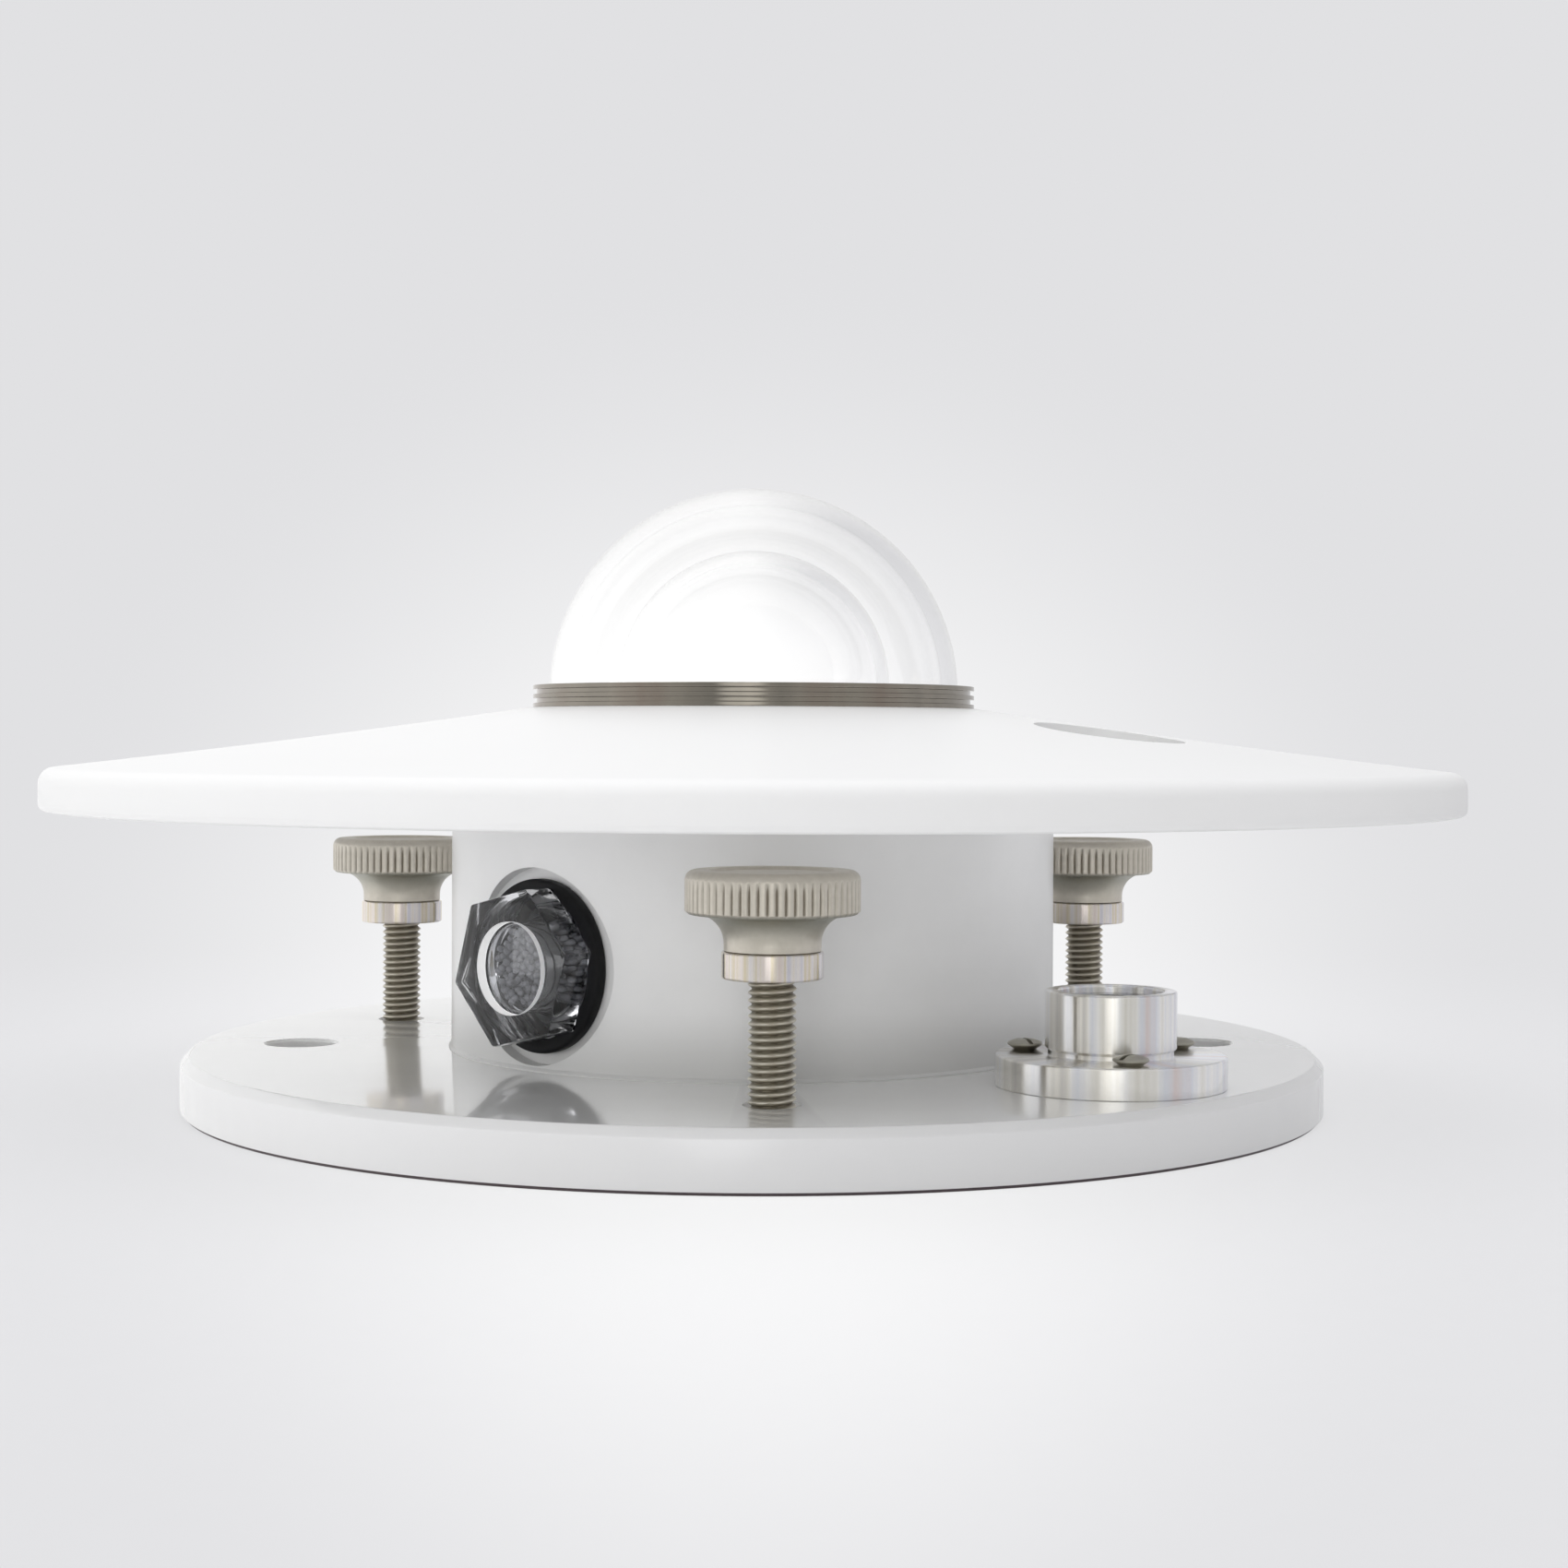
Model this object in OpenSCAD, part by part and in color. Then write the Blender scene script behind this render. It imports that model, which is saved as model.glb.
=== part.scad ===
// Pyranometer: a thermopile under two glass domes, in a round housing on a levelling base plate
// Millimetres, +Z up, origin at the middle of the base plate's underside, front towards -Y

/* [Base plate] */
// Rim of the base plate outside the bubble level
base_margin = 2.5; // [1:0.1:6]
// Thickness of the base plate
base_h = 6.5; // [6:0.1:9]
// Chamfer round the top edge
base_chamfer = 1; // [0.4:0.1:1.6]
// Distance of the mounting holes from the housing
mount_reach = 18.35; // [16:0.05:22]
// Diameter of a mounting hole
mount_hole_d = 8.5; // [6.5:0.1:9]

/* [Housing] */
// Outer diameter of the housing
housing_d = 73.3; // [72:0.1:76]
// Height of the housing from the base plate to its deck
housing_h = 36.5; // [35:0.1:42]
// Thickness of the housing wall
housing_wall = 5; // [4.5:0.1:5.5]
// Thickness of the deck
deck_t = 3.5; // [3.2:0.1:4.5]
// Wall of the threaded neck
neck_wall = 2; // [1.8:0.1:2.2]
// Ledge inside the neck, on which the sensor block stands
deck_ledge_w = 4.6; // [4.2:0.1:5]

/* [Sun shade] */
// Diameter of the sun shade
shade_d = 169; // [160:0.5:176]
// Height of the shade from its lower rim to the clamp ring
shade_h = 12.2; // [10.5:0.1:12.6]
// Height of the rim below the slope
shade_rim_h = 4.95; // [4.4:0.05:5.4]
// Thickness of the sloping wall
shade_t = 2.5; // [2:0.1:2.8]
// Width of the rim wall
shade_rim_t = 3; // [2.4:0.1:4]
// Height of the hub that stands on the deck
hub_h = 4.5; // [4.2:0.1:5]
// Diameter of the sight hole above the level
sight_hole_d = 17; // [14:0.5:22]

/* [Domes] */
// Outer diameter of the outer dome
outer_dome_d = 50; // [49.8:0.1:50.4]
// Wall of the outer dome
outer_dome_t = 2; // [1.6:0.1:2.2]
// Straight foot of the outer dome
outer_dome_foot = 1.7; // [1.4:0.1:2.4]
// Clear width between the neck's bore and the inner dome
inner_dome_gap = 5.95; // [5.8:0.05:6.4]
// Wall of the inner dome
inner_dome_t = 1.5; // [1.2:0.1:1.7]
// Wall of the clamp ring round the outer dome
ring_wall = 2; // [1.6:0.1:2.6]
// Height of the clamp ring above the shade
ring_h = 2.7; // [2.2:0.1:3.2]

/* [Levelling screws] */
// Clear width between the housing and the knurled heads
screw_clear = 6.85; // [6:0.05:9]
// Diameter of the threaded stud
stud_d = 5; // [4.5:0.1:5.4]
// Thread that shows between the base plate and the collar
stud_show = 12.9; // [10:0.1:13.5]
// Diameter of the collar
collar_d = 10.5; // [10:0.1:11.5]
// Height of the collar
collar_h = 2.8; // [2.2:0.1:3.2]
// Diameter of the knurled head
knob_d = 18; // [17:0.1:19]
// Height of the head with its neck, above the collar
knob_h = 8.3; // [7.6:0.1:8.8]
// Height of the knurled band
knurl_h = 4.5; // [3.8:0.1:5]

/* [Bubble level] */
// Clear width between the housing and the level's flange
level_clear = 4.35; // [3:0.05:6]
// Diameter of the flange
level_flange_d = 25; // [24.4:0.1:25.6]
// Thickness of the flange
level_flange_h = 3.4; // [3:0.1:4]
// Diameter of the tube
level_tube_d = 14.2; // [13.6:0.1:14.6]
// Height of the whole level above the base plate
level_h = 10.3; // [9.6:0.1:11.5]
// Bore of the tube
level_bore_d = 11.2; // [10.8:0.1:11.8]

/* [Drying cartridge] */
// Wall of the housing below the turned seat
seat_rise = 0.6; // [0.5:0.1:1.4]
// Diameter of the turned seat in the housing
seat_d = 22.2; // [20.6:0.1:22.6]
// Diameter of the washer
washer_d = 19.6; // [19.2:0.1:20.4]
// Thickness of the washer
washer_t = 1.5; // [1:0.1:2]
// Width of the hexagon head across its flats, beyond the thread
plug_hex_step = 0.2; // [0.2:0.1:0.8]
// Height of the hexagon head
plug_hex_h = 4.1; // [3.6:0.1:5]
// Diameter of the plug's thread
plug_thread_d = 16; // [15.4:0.1:16.4]

/* [Output socket] */
// Wall of the housing below the socket's seat
socket_seat_rise = 0.4; // [0.3:0.1:1]
// Diameter of the socket's outer thread
socket_d = 16; // [15:0.1:16.4]
// Diameter of the socket's flange
socket_flange_d = 23.6; // [23.2:0.1:24]
// Length of the socket in front of its seat
socket_reach = 12.2; // [11.6:0.1:14]

/* [Hidden] */
$fn = 96;
overrun = 1;            // how far every cut runs past the face that it opens
running_gap = 0.05;     // a shaft in its bore, and flat faces that turn on each other
fit_gap = 0.3;          // a piece that drops into its place
bond_gap = 0.05;        // a cemented or screwed joint

// Base plate
base_top = base_h;
base_foot_chamfer = 0.4;
screw_angles = [-90, 150, 30];   // front, left and right
stud_bore_chamfer = 0.5;

// Housing
housing_r = housing_d / 2;
housing_in_r = housing_r - housing_wall;
deck_z = base_top + housing_h;
deck_under_z = deck_z - deck_t;
housing_edge = 0.6;
foot_w = 0.3;
foot_h = 0.45;
outer_dome_r = outer_dome_d / 2;
neck_inset = 0.4;               // the neck's thread stays inside the dome's outline
neck_r = outer_dome_r - neck_inset;
neck_bore_r = neck_r - neck_wall;
neck_drop = 0.6;
neck_z = deck_z + hub_h - neck_drop;
deck_bore_r = neck_bore_r - deck_ledge_w;

// Seal and screws between base plate and housing
seal_w = 2.2;
seal_h = 1.3;
seal_r = housing_r - housing_wall / 2;
foot_boss_r = 4.5;
foot_boss_h = 12;
foot_boss_lift = 0.4;            // the bosses stay clear of the base plate, the wall's rim seats
foot_boss_sink = 1.35;           // how far the boss grows into the wall
foot_boss_circle = housing_in_r - foot_boss_r + foot_boss_sink;
foot_screw_r = 2;
foot_screw_head_r = 4;
foot_screw_head_h = 2.2;
foot_screw_l = 12;
foot_screw_depth = 9;

// Sun shade
shade_r = shade_d / 2;
shade_edge_r = 1.8;
shade_edge_turn = 85;            // degrees of the rounded edge, up to the slope
shade_rim_round = 0.6;
shade_slope_share = 0.85;        // 1 is a straight cone, less is hollower
shade_steps = 14;
edge_steps = 6;
ring_z = deck_z + hub_h;
shade_rim_z = ring_z - shade_h;
shade_edge_z = shade_rim_z + shade_rim_h;
shade_edge_in_r = shade_r - shade_edge_r * (1 - cos(shade_edge_turn));
shade_rim_in_r = shade_r - shade_rim_t;
hub_top_w = 1.2;
hub_inset = 1.25;
sight_shift = 6.2;               // the sight hole stands this much nearer the axis than the level
sight_turn = 11.7;               // and this many degrees further round

// Clamp ring
ring_r = outer_dome_r + ring_wall;
ring_skirt_t = 1.3;
ring_skirt_h = 3.2;
ring_skirt_r = neck_r + ring_skirt_t;
ring_groove_w = 0.55;
ring_groove_depth = 0.45;
ring_ledge_h = 0.1;
hub_r = ring_skirt_r + fit_gap;
hub_top_r = hub_r + hub_top_w;
hub_out_r = housing_r - hub_inset;

// Outer dome
dome_seal_t = 0.8;
dome_seal_inset = 0.2;
outer_foot_z = neck_z + dome_seal_t;
outer_centre_z = outer_foot_z + outer_dome_foot;

// Sensor
sensor_z = ring_z + ring_h;
inner_dome_r = neck_bore_r - inner_dome_gap;
inner_ring_h = 1.3;
inner_ring_lip_h = 0.4;
inner_ring_lip_w = 2;
inner_ring_w = 1.75;
inner_ring_r = inner_dome_r + bond_gap + inner_ring_w;
inner_foot_z = sensor_z - inner_ring_h + inner_ring_lip_h;
block_top = sensor_z - inner_ring_h;
block_depth = 6;
block_flange_h = 2.2;
block_flange_r = neck_bore_r - fit_gap;
block_stem_r = deck_bore_r - fit_gap;
block_bottom = deck_z - block_depth;
pocket_r = 9.2;
pocket_depth = 5.3;
pocket_z = block_top - pocket_depth;
sensor_screw_r = 1;
sensor_screw_head_r = 1.8;
sensor_screw_head_h = 1.4;
sensor_screw_bite = 2.6;
sensor_screw_circle = (inner_ring_r + block_flange_r) / 2;
sensor_screw_angles = [30, 150, 270];
receiver_share = 0.6;            // of the inner dome's radius
receiver_r = receiver_share * inner_dome_r;
receiver_t = 0.3;
guard_gap = 0.3;
guard_in_r = receiver_r + guard_gap;
guard_out_r = inner_dome_r + bond_gap - inner_ring_lip_w - guard_gap;
former_w = 9;
former_foot_w = 11;
former_foot_h = 1.2;
former_top = sensor_z - receiver_t;
wire_w = 0.4;
wire_count = 12;
wire_rise = 0.8;
sensor_lead_r = 0.4;
sensor_lead_gap = 0.4;
sensor_lead_x = 3;

// Terminal board
board_t = 1.6;
board_drop_share = 0.175;        // of the housing's height
board_drop = board_drop_share * housing_h;
board_top = deck_under_z - board_drop;
board_bottom = board_top - board_t;
standoff_w = 5;
standoff_clear = 0.4;            // from the sensor block's stem to a standoff's corner
standoff_circle = block_stem_r + standoff_clear + standoff_w / 2 / cos(30);
board_edge_share = 0.47;         // of the way from the standoffs' circle to the wall
board_r = standoff_circle + board_edge_share * (housing_in_r - standoff_circle);
standoff_angles = [90, 210, 330];
standoff_pin_r = 1.5;
standoff_pin_h = 2.2;
board_screw_head_r = 2.7;
board_screw_head_h = 1.8;
board_screw_bite = 3;
terminal_w = 14;
terminal_d = 10;
terminal_slot_w = 0.7;
terminal_slot_depth = 0.6;
resistor_r = 1.2;
resistor_l = 7;
resistor_x = 6;
resistor_y = 10;

// Turned seats in the wall are this much deeper than a flat that just reaches their edge
seat_margin = 0.25;

// Output socket
socket_angle = 90;
socket_r = socket_d / 2;
socket_flange_r = socket_flange_d / 2;
socket_seat_r = socket_flange_r + fit_gap;
socket_z = base_top + socket_seat_r + socket_seat_rise;
socket_seat = sqrt(pow(housing_r, 2) - pow(socket_seat_r, 2)) - seat_margin;
socket_gasket_t = 0.5;
socket_flange_t = 2;
socket_wall = 1.4;
socket_body_r = 7.4;
socket_body_l = 11;
socket_boss_r = 10;
socket_boss_l = 7;
socket_face = socket_seat + socket_gasket_t;
socket_floor = socket_face + socket_flange_t;
socket_mouth = socket_seat + socket_reach;
socket_back = socket_face - socket_body_l;
socket_screw_r = 0.9;
socket_screw_head_r = 1.3;
socket_screw_head_h = 1.1;
socket_screw_bite = 2.4;
socket_screw_edge = 0.15;        // the heads stay this far inside the flange, clear of a coupling nut
socket_screw_circle = socket_flange_r - socket_screw_head_r - socket_screw_edge;
insert_r = socket_r - socket_wall;
insert_out = 0.4;
pin_r = 0.75;
pin_circle = 3.2;
pin_out = 5.4;
pin_back = 2;
pin_count = 4;
pin_offset = pin_circle * sin(45);
lead_r = 0.6;
lead_bend_r = 2;
lead_y = 2.6;
lead_rise = 1.7;                 // from the end of a lead's bend up to the terminals
terminal_bottom = socket_z + pin_offset + lead_bend_r + lead_rise;
terminal_h = board_bottom - terminal_bottom;

// Bubble level
level_angle = -45.7;
level_flange_r = level_flange_d / 2;
level_circle_r = housing_r + level_clear + level_flange_r;
base_r = level_circle_r + level_flange_r + base_margin;
level_tube_r = level_tube_d / 2;
level_bore_r = level_bore_d / 2;
level_floor = 1.6;
level_edge = 0.35;
level_groove_w = 0.5;
level_groove_depth = 0.3;
level_top = base_top + level_h;
level_screw_r = 1.2;
level_screw_head_r = 2.25;
level_screw_head_h = 1.1;
level_screw_crown = 0.35;
level_screw_bite = 4;
level_screw_circle = (level_tube_r + level_flange_r) / 2;
level_screw_phase = -88;
vial_gap = 0.1;
vial_r = level_bore_r - vial_gap;
vial_sink = 0.8;
vial_wall = 0.9;
vial_lid = 1.2;
vial_foot_z = base_top + level_floor;
vial_top = level_top - vial_sink;
vial_crown_r = 22;
bubble_r = 1.9;
bubble_h = 0.5;

// Drying cartridge
plug_angle = -134.3;
seat_r = seat_d / 2;
plug_z = base_top + seat_r + seat_rise;
seat = sqrt(pow(housing_r, 2) - pow(seat_r, 2)) - seat_margin;
plug_boss_wall = 2.2;
plug_boss_l = 8;
washer_in_gap = 0.2;
washer_round = 0.3;
plug_thread_r = plug_thread_d / 2;
plug_boss_r = plug_thread_r + plug_boss_wall;
washer_face = seat + running_gap;
plug_face = washer_face + washer_t + running_gap;
plug_hex_r = (plug_thread_d + plug_hex_step) / 2 / cos(30);
plug_hex_turn = 43.3;
plug_hex_chamfer = 0.3;
plug_window_r = 5.2;
plug_window_depth = 1.2;
capsule_r = 6.9;
capsule_l = 21;
capsule_wall = 1.9;
capsule_bore_r = capsule_r - capsule_wall;
capsule_end = seat - capsule_l;
gel_front = plug_face + washer_t;
gel_gap = 0.1;
cap_t = 1.2;
cap_spigot = 1.4;
cap_hole_r = 0.7;
cap_hole_circle = 3.4;
cap_hole_count = 6;

// Levelling screws
stud_r = stud_d / 2;
screw_circle_r = housing_r + screw_clear + knob_d / 2;
stud_tip_z = 0.3;
stud_tip_chamfer = 0.6;
stud_grip = 6.5;
collar_r = collar_d / 2;
collar_z = base_top + stud_show;
collar_edge = 0.25;
knob_r = knob_d / 2;
knob_z = collar_z + collar_h + running_gap;
knob_top = collar_z + collar_h + knob_h;
knob_neck_inset = 0.25;
knob_neck_r = collar_r - knob_neck_inset;
knob_cove_r = 3;
knob_band_edge = 0.35;
knob_top_round = 1;
knob_dish_r = 6.5;
knob_dish_depth = 0.3;
cove_steps = 8;
round_steps = 4;

// Height of the shade's upper surface at radius r
function shade_top(r) =
    let (t = (shade_edge_in_r - r) / (shade_edge_in_r - hub_top_r))
    shade_edge_z + (ring_z - shade_edge_z)
        * (shade_slope_share * t + (1 - shade_slope_share) * t * t);

// Points of an arc about [x, y], from angle a0 to a1
function arc(x, y, r, a0, a1, steps) =
    [for (i = [0:steps]) let (a = a0 + (a1 - a0) * i / steps) [x + r * cos(a), y + r * sin(a)]];

// Children stand on a radial axis at this angle and height, with their own Z outwards
module radial(angle, z) {
    rotate([0, 0, angle]) translate([0, 0, z]) rotate([0, 90, 0]) children();
}

// Children stand on a circle of this radius, once for each angle
module around(r, angles, z) {
    for (a = angles) rotate([0, 0, a]) translate([r, 0, z]) children();
}

module at_level() {
    rotate([0, 0, level_angle]) translate([level_circle_r, 0, 0])
        rotate([0, 0, -level_angle]) children();
}

module at_level_screws(z) {
    at_level() around(level_screw_circle, [for (i = [0:2]) level_screw_phase + i * 120], z)
        children();
}

module flat_ring(r_in, r_out, h) {
    rotate_extrude() translate([r_in, 0]) square([r_out - r_in, h]);
}

module base_plate() color("whitesmoke") difference() {
    rotate_extrude() polygon([[0, 0], [base_r - base_foot_chamfer, 0],
        [base_r, base_foot_chamfer], [base_r, base_h - base_chamfer],
        [base_r - base_chamfer, base_h], [0, base_h]]);
    around(housing_r + mount_reach, [0, 180], -overrun)
        cylinder(d = mount_hole_d, h = base_h + 2 * overrun);
    around(screw_circle_r, screw_angles, -overrun)
        cylinder(r = stud_r + running_gap, h = base_h + 2 * overrun);
    around(screw_circle_r, screw_angles, base_top - stud_bore_chamfer)
        cylinder(r1 = stud_r + running_gap, r2 = stud_r + running_gap + 2 * stud_bore_chamfer,
            h = 2 * stud_bore_chamfer);
    around(foot_boss_circle, screw_angles, -overrun)
        cylinder(r = foot_screw_r + bond_gap, h = base_h + 2 * overrun);
    around(foot_boss_circle, screw_angles, 0)
        foot_screw_cone(bond_gap, overrun);
    at_level_screws(base_top - level_screw_bite)
        cylinder(r = level_screw_r + bond_gap, h = level_screw_bite + overrun);
    translate([0, 0, base_top - seal_h])
        flat_ring(seal_r - seal_w / 2, seal_r + seal_w / 2, seal_h + overrun);
}

// Head of a countersunk screw from below, grown by a gap and run on downwards
module foot_screw_cone(gap, extra) {
    rotate_extrude() polygon([[0, -extra], [foot_screw_head_r + gap, -extra],
        [foot_screw_head_r + gap, 0], [foot_screw_r + gap, foot_screw_head_h],
        [0, foot_screw_head_h]]);
}

module housing_screws() color("silver") around(foot_boss_circle, screw_angles, 0) difference() {
    union() {
        foot_screw_cone(0, 0);
        cylinder(r = foot_screw_r, h = foot_screw_l);
    }
    translate([0, 0, -overrun])
        cylinder(r = foot_screw_r / 2, h = foot_screw_head_h + overrun, $fn = 6);
}

module housing_seal() color("dimgray") translate([0, 0, base_top - seal_h])
    flat_ring(seal_r - seal_w / 2, seal_r + seal_w / 2, seal_h);

module housing_shell() rotate_extrude() polygon([
    [housing_in_r, base_top], [housing_r + foot_w, base_top],
    [housing_r + foot_w, base_top + foot_h - foot_w], [housing_r, base_top + foot_h],
    [housing_r, deck_z - housing_edge], [housing_r - housing_edge, deck_z],
    [neck_r, deck_z], [neck_r, neck_z], [neck_bore_r, neck_z], [neck_bore_r, deck_z],
    [deck_bore_r, deck_z], [deck_bore_r, deck_under_z], [housing_in_r, deck_under_z]]);

// Boss on the inside of the wall, from its seat inwards
module wall_boss(r, l, face) intersection() {
    translate([0, 0, face - l]) cylinder(r = r, h = l);
    rotate([0, -90, 0]) cylinder(r = housing_r - housing_wall / 2, h = 2 * housing_h,
        center = true);
}

module wall_seat(r, bore_r, l, face) {
    translate([0, 0, face]) cylinder(r = r, h = housing_r - face + foot_w + overrun);
    translate([0, 0, face - l - overrun]) cylinder(r = bore_r, h = l + 2 * overrun);
}

module housing() color("gainsboro") difference() {
    union() {
        housing_shell();
        around(foot_boss_circle, screw_angles, base_top + foot_boss_lift)
            cylinder(r = foot_boss_r, h = foot_boss_h - foot_boss_lift);
        radial(plug_angle, plug_z) wall_boss(plug_boss_r, plug_boss_l, seat);
        radial(socket_angle, socket_z) wall_boss(socket_boss_r, socket_boss_l, socket_seat);
    }
    radial(plug_angle, plug_z)
        wall_seat(seat_r, plug_thread_r + running_gap, plug_boss_l, seat);
    radial(socket_angle, socket_z)
        wall_seat(socket_seat_r, socket_body_r + fit_gap, socket_boss_l, socket_seat);
    radial(socket_angle, socket_z)
        around(socket_screw_circle, [for (i = [0:2]) i * 120], socket_seat - socket_screw_bite)
            cylinder(r = socket_screw_r + bond_gap, h = socket_screw_bite + overrun);
    around(foot_boss_circle, screw_angles, base_top - overrun)
        cylinder(r = foot_screw_r + bond_gap, h = foot_screw_depth + overrun);
    around(sensor_screw_circle, sensor_screw_angles, deck_z - sensor_screw_bite)
        cylinder(r = sensor_screw_r + bond_gap, h = sensor_screw_bite + overrun);
    around(standoff_circle, standoff_angles, deck_under_z - overrun)
        cylinder(r = standoff_pin_r + bond_gap, h = standoff_pin_h + overrun);
}

module sun_shade() color("white") difference() {
    rotate_extrude() polygon(concat(
        [[hub_r, deck_z], [hub_out_r, deck_z]],
        [for (i = [0:shade_steps])
            let (r = hub_out_r + (shade_rim_in_r - hub_out_r) * i / shade_steps)
            [r, shade_top(r) - shade_t]],
        [[shade_rim_in_r, shade_rim_z], [shade_r - shade_rim_round, shade_rim_z],
            [shade_r, shade_rim_z + shade_rim_round]],
        arc(shade_r - shade_edge_r, shade_edge_z - shade_edge_r * sin(shade_edge_turn),
            shade_edge_r, 0, shade_edge_turn, edge_steps),
        [for (i = [1:shade_steps])
            let (r = shade_edge_in_r + (hub_top_r - shade_edge_in_r) * i / shade_steps)
            [r, shade_top(r)]],
        [[hub_r, ring_z]]));
    rotate([0, 0, level_angle + sight_turn])
        translate([level_circle_r - sight_shift, 0, shade_rim_z])
            cylinder(d = sight_hole_d, h = shade_h + overrun);
}

// Ring over the neck: threaded skirt, flange on the shade's hub, two grooves round it
module dome_ring() color("silver") {
    land = (ring_h - 2 * ring_groove_w) / 3;
    low = [for (i = [0:1]) ring_z + land + i * (land + ring_groove_w)];
    rotate_extrude() polygon(concat(
        [[neck_r + bond_gap, ring_z - ring_skirt_h], [ring_skirt_r, ring_z - ring_skirt_h],
            [ring_skirt_r, ring_z], [ring_r, ring_z]],
        [for (z = low) each [[ring_r, z], [ring_r - ring_groove_depth, z],
            [ring_r - ring_groove_depth, z + ring_groove_w], [ring_r, z + ring_groove_w]]],
        [[ring_r, ring_z + ring_h], [outer_dome_r + bond_gap, ring_z + ring_h],
            [outer_dome_r + bond_gap, outer_foot_z - ring_ledge_h],
            [neck_r + bond_gap, outer_foot_z - ring_ledge_h]]));
}

module dome_seal() color("dimgray") translate([0, 0, neck_z])
    flat_ring(neck_bore_r + dome_seal_inset, neck_r - dome_seal_inset, dome_seal_t);

// Glass cap: half a hollow ball on a short straight foot
module dome(r, t, foot, centre_z) translate([0, 0, centre_z]) rotate_extrude() {
    intersection() {
        difference() {
            circle(r);
            circle(r - t);
        }
        square([r, r]);
    }
    translate([r - t, -foot]) square([t, foot]);
}

module outer_dome() color("lightcyan", 0.35)
    dome(outer_dome_r, outer_dome_t, outer_dome_foot, outer_centre_z);

module inner_dome() color("lightcyan", 0.35)
    dome(inner_dome_r, inner_dome_t, sensor_z - inner_foot_z, sensor_z);

module inner_dome_ring() color("white") rotate_extrude() polygon([
    [inner_dome_r + bond_gap - inner_ring_lip_w, block_top], [inner_ring_r, block_top],
    [inner_ring_r, sensor_z], [inner_dome_r + bond_gap, sensor_z],
    [inner_dome_r + bond_gap, inner_foot_z],
    [inner_dome_r + bond_gap - inner_ring_lip_w, inner_foot_z]]);

module sensor_block() color("lightgray") difference() {
    rotate_extrude() polygon([[0, block_bottom], [block_stem_r, block_bottom],
        [block_stem_r, deck_z], [block_flange_r, deck_z],
        [block_flange_r, deck_z + block_flange_h], [inner_ring_r, deck_z + block_flange_h],
        [inner_ring_r, block_top], [pocket_r, block_top], [pocket_r, pocket_z],
        [0, pocket_z]]);
    around(sensor_lead_x, [0, 180], block_bottom - overrun)
        cylinder(r = sensor_lead_r + sensor_lead_gap,
            h = pocket_z - block_bottom + 2 * overrun);
    around(sensor_screw_circle, sensor_screw_angles, deck_z - overrun)
        cylinder(r = sensor_screw_r + bond_gap, h = block_flange_h + 2 * overrun);
}

// Cylinder-head screw that points down, with its head's underside at the height given
module cap_screw(r, head_r, head_h, below) difference() {
    union() {
        translate([0, 0, -below]) cylinder(r = r, h = below);
        cylinder(r = head_r, h = head_h);
    }
    translate([0, 0, head_h / 2]) cylinder(r = r, h = head_h, $fn = 6);
}

module sensor_screws() color("silver")
    around(sensor_screw_circle, sensor_screw_angles, deck_z + block_flange_h)
        cap_screw(sensor_screw_r, sensor_screw_head_r, sensor_screw_head_h,
            block_flange_h + sensor_screw_bite);

// Plated former with its turns of wire, on an insulating foot
module thermopile() color("sienna") {
    step = former_w / wire_count;
    wound_h = former_top - pocket_z - former_foot_h;
    translate([-former_foot_w / 2, -former_foot_w / 2, pocket_z])
        cube([former_foot_w, former_foot_w, former_foot_h]);
    translate([-former_w / 2, -former_w / 2, pocket_z + former_foot_h])
        cube([former_w, former_w, wound_h]);
    for (i = [0:wire_count - 1])
        translate([-former_w / 2 - wire_w, (i + 0.5) * step - former_w / 2 - wire_w / 2,
            pocket_z + former_foot_h + wire_rise])
            cube([former_w + 2 * wire_w, wire_w, wound_h - 2 * wire_rise]);
}

module receiver_disc() color("black") translate([0, 0, sensor_z - receiver_t])
    cylinder(r = receiver_r, h = receiver_t);

module guard_plate() color("white") translate([0, 0, block_top])
    flat_ring(guard_in_r, guard_out_r, sensor_z - receiver_t - block_top);

module sensor_leads() color("gold") around(sensor_lead_x, [0, 180], board_top)
    cylinder(r = sensor_lead_r, h = pocket_z - board_top);

module terminal_board() color("darkgreen") difference() {
    translate([0, 0, board_bottom]) cylinder(r = board_r, h = board_t);
    around(standoff_circle, standoff_angles, board_bottom - overrun)
        cylinder(r = standoff_pin_r + bond_gap, h = board_t + 2 * overrun);
}

module board_standoffs() color("goldenrod")
    around(standoff_circle, standoff_angles, board_top) difference() {
        union() {
            cylinder(r = standoff_w / 2 / cos(30), h = board_drop, $fn = 6);
            cylinder(r = standoff_pin_r, h = board_drop + standoff_pin_h);
        }
        translate([0, 0, -overrun])
            cylinder(r = standoff_pin_r + bond_gap, h = board_screw_bite + overrun);
    }

module board_screws() color("silver") around(standoff_circle, standoff_angles, board_bottom)
    mirror([0, 0, 1]) cap_screw(standoff_pin_r, board_screw_head_r, board_screw_head_h,
        board_t + board_screw_bite);

module terminal_block() color("seagreen") difference() {
    translate([-terminal_w / 2, -terminal_d / 2, terminal_bottom])
        cube([terminal_w, terminal_d, terminal_h]);
    for (side = [-1, 0, 1])
        translate([side * terminal_w / 4 - terminal_slot_w / 2, -terminal_d / 2 - overrun,
            terminal_bottom - overrun])
            cube([terminal_slot_w, terminal_d + 2 * overrun, terminal_slot_depth + overrun]);
}

module trim_resistors() color("steelblue") for (side = [-1, 1])
    translate([side * resistor_x, resistor_y - resistor_l, board_top + resistor_r])
        rotate([-90, 0, 0]) cylinder(r = resistor_r, h = resistor_l);

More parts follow.
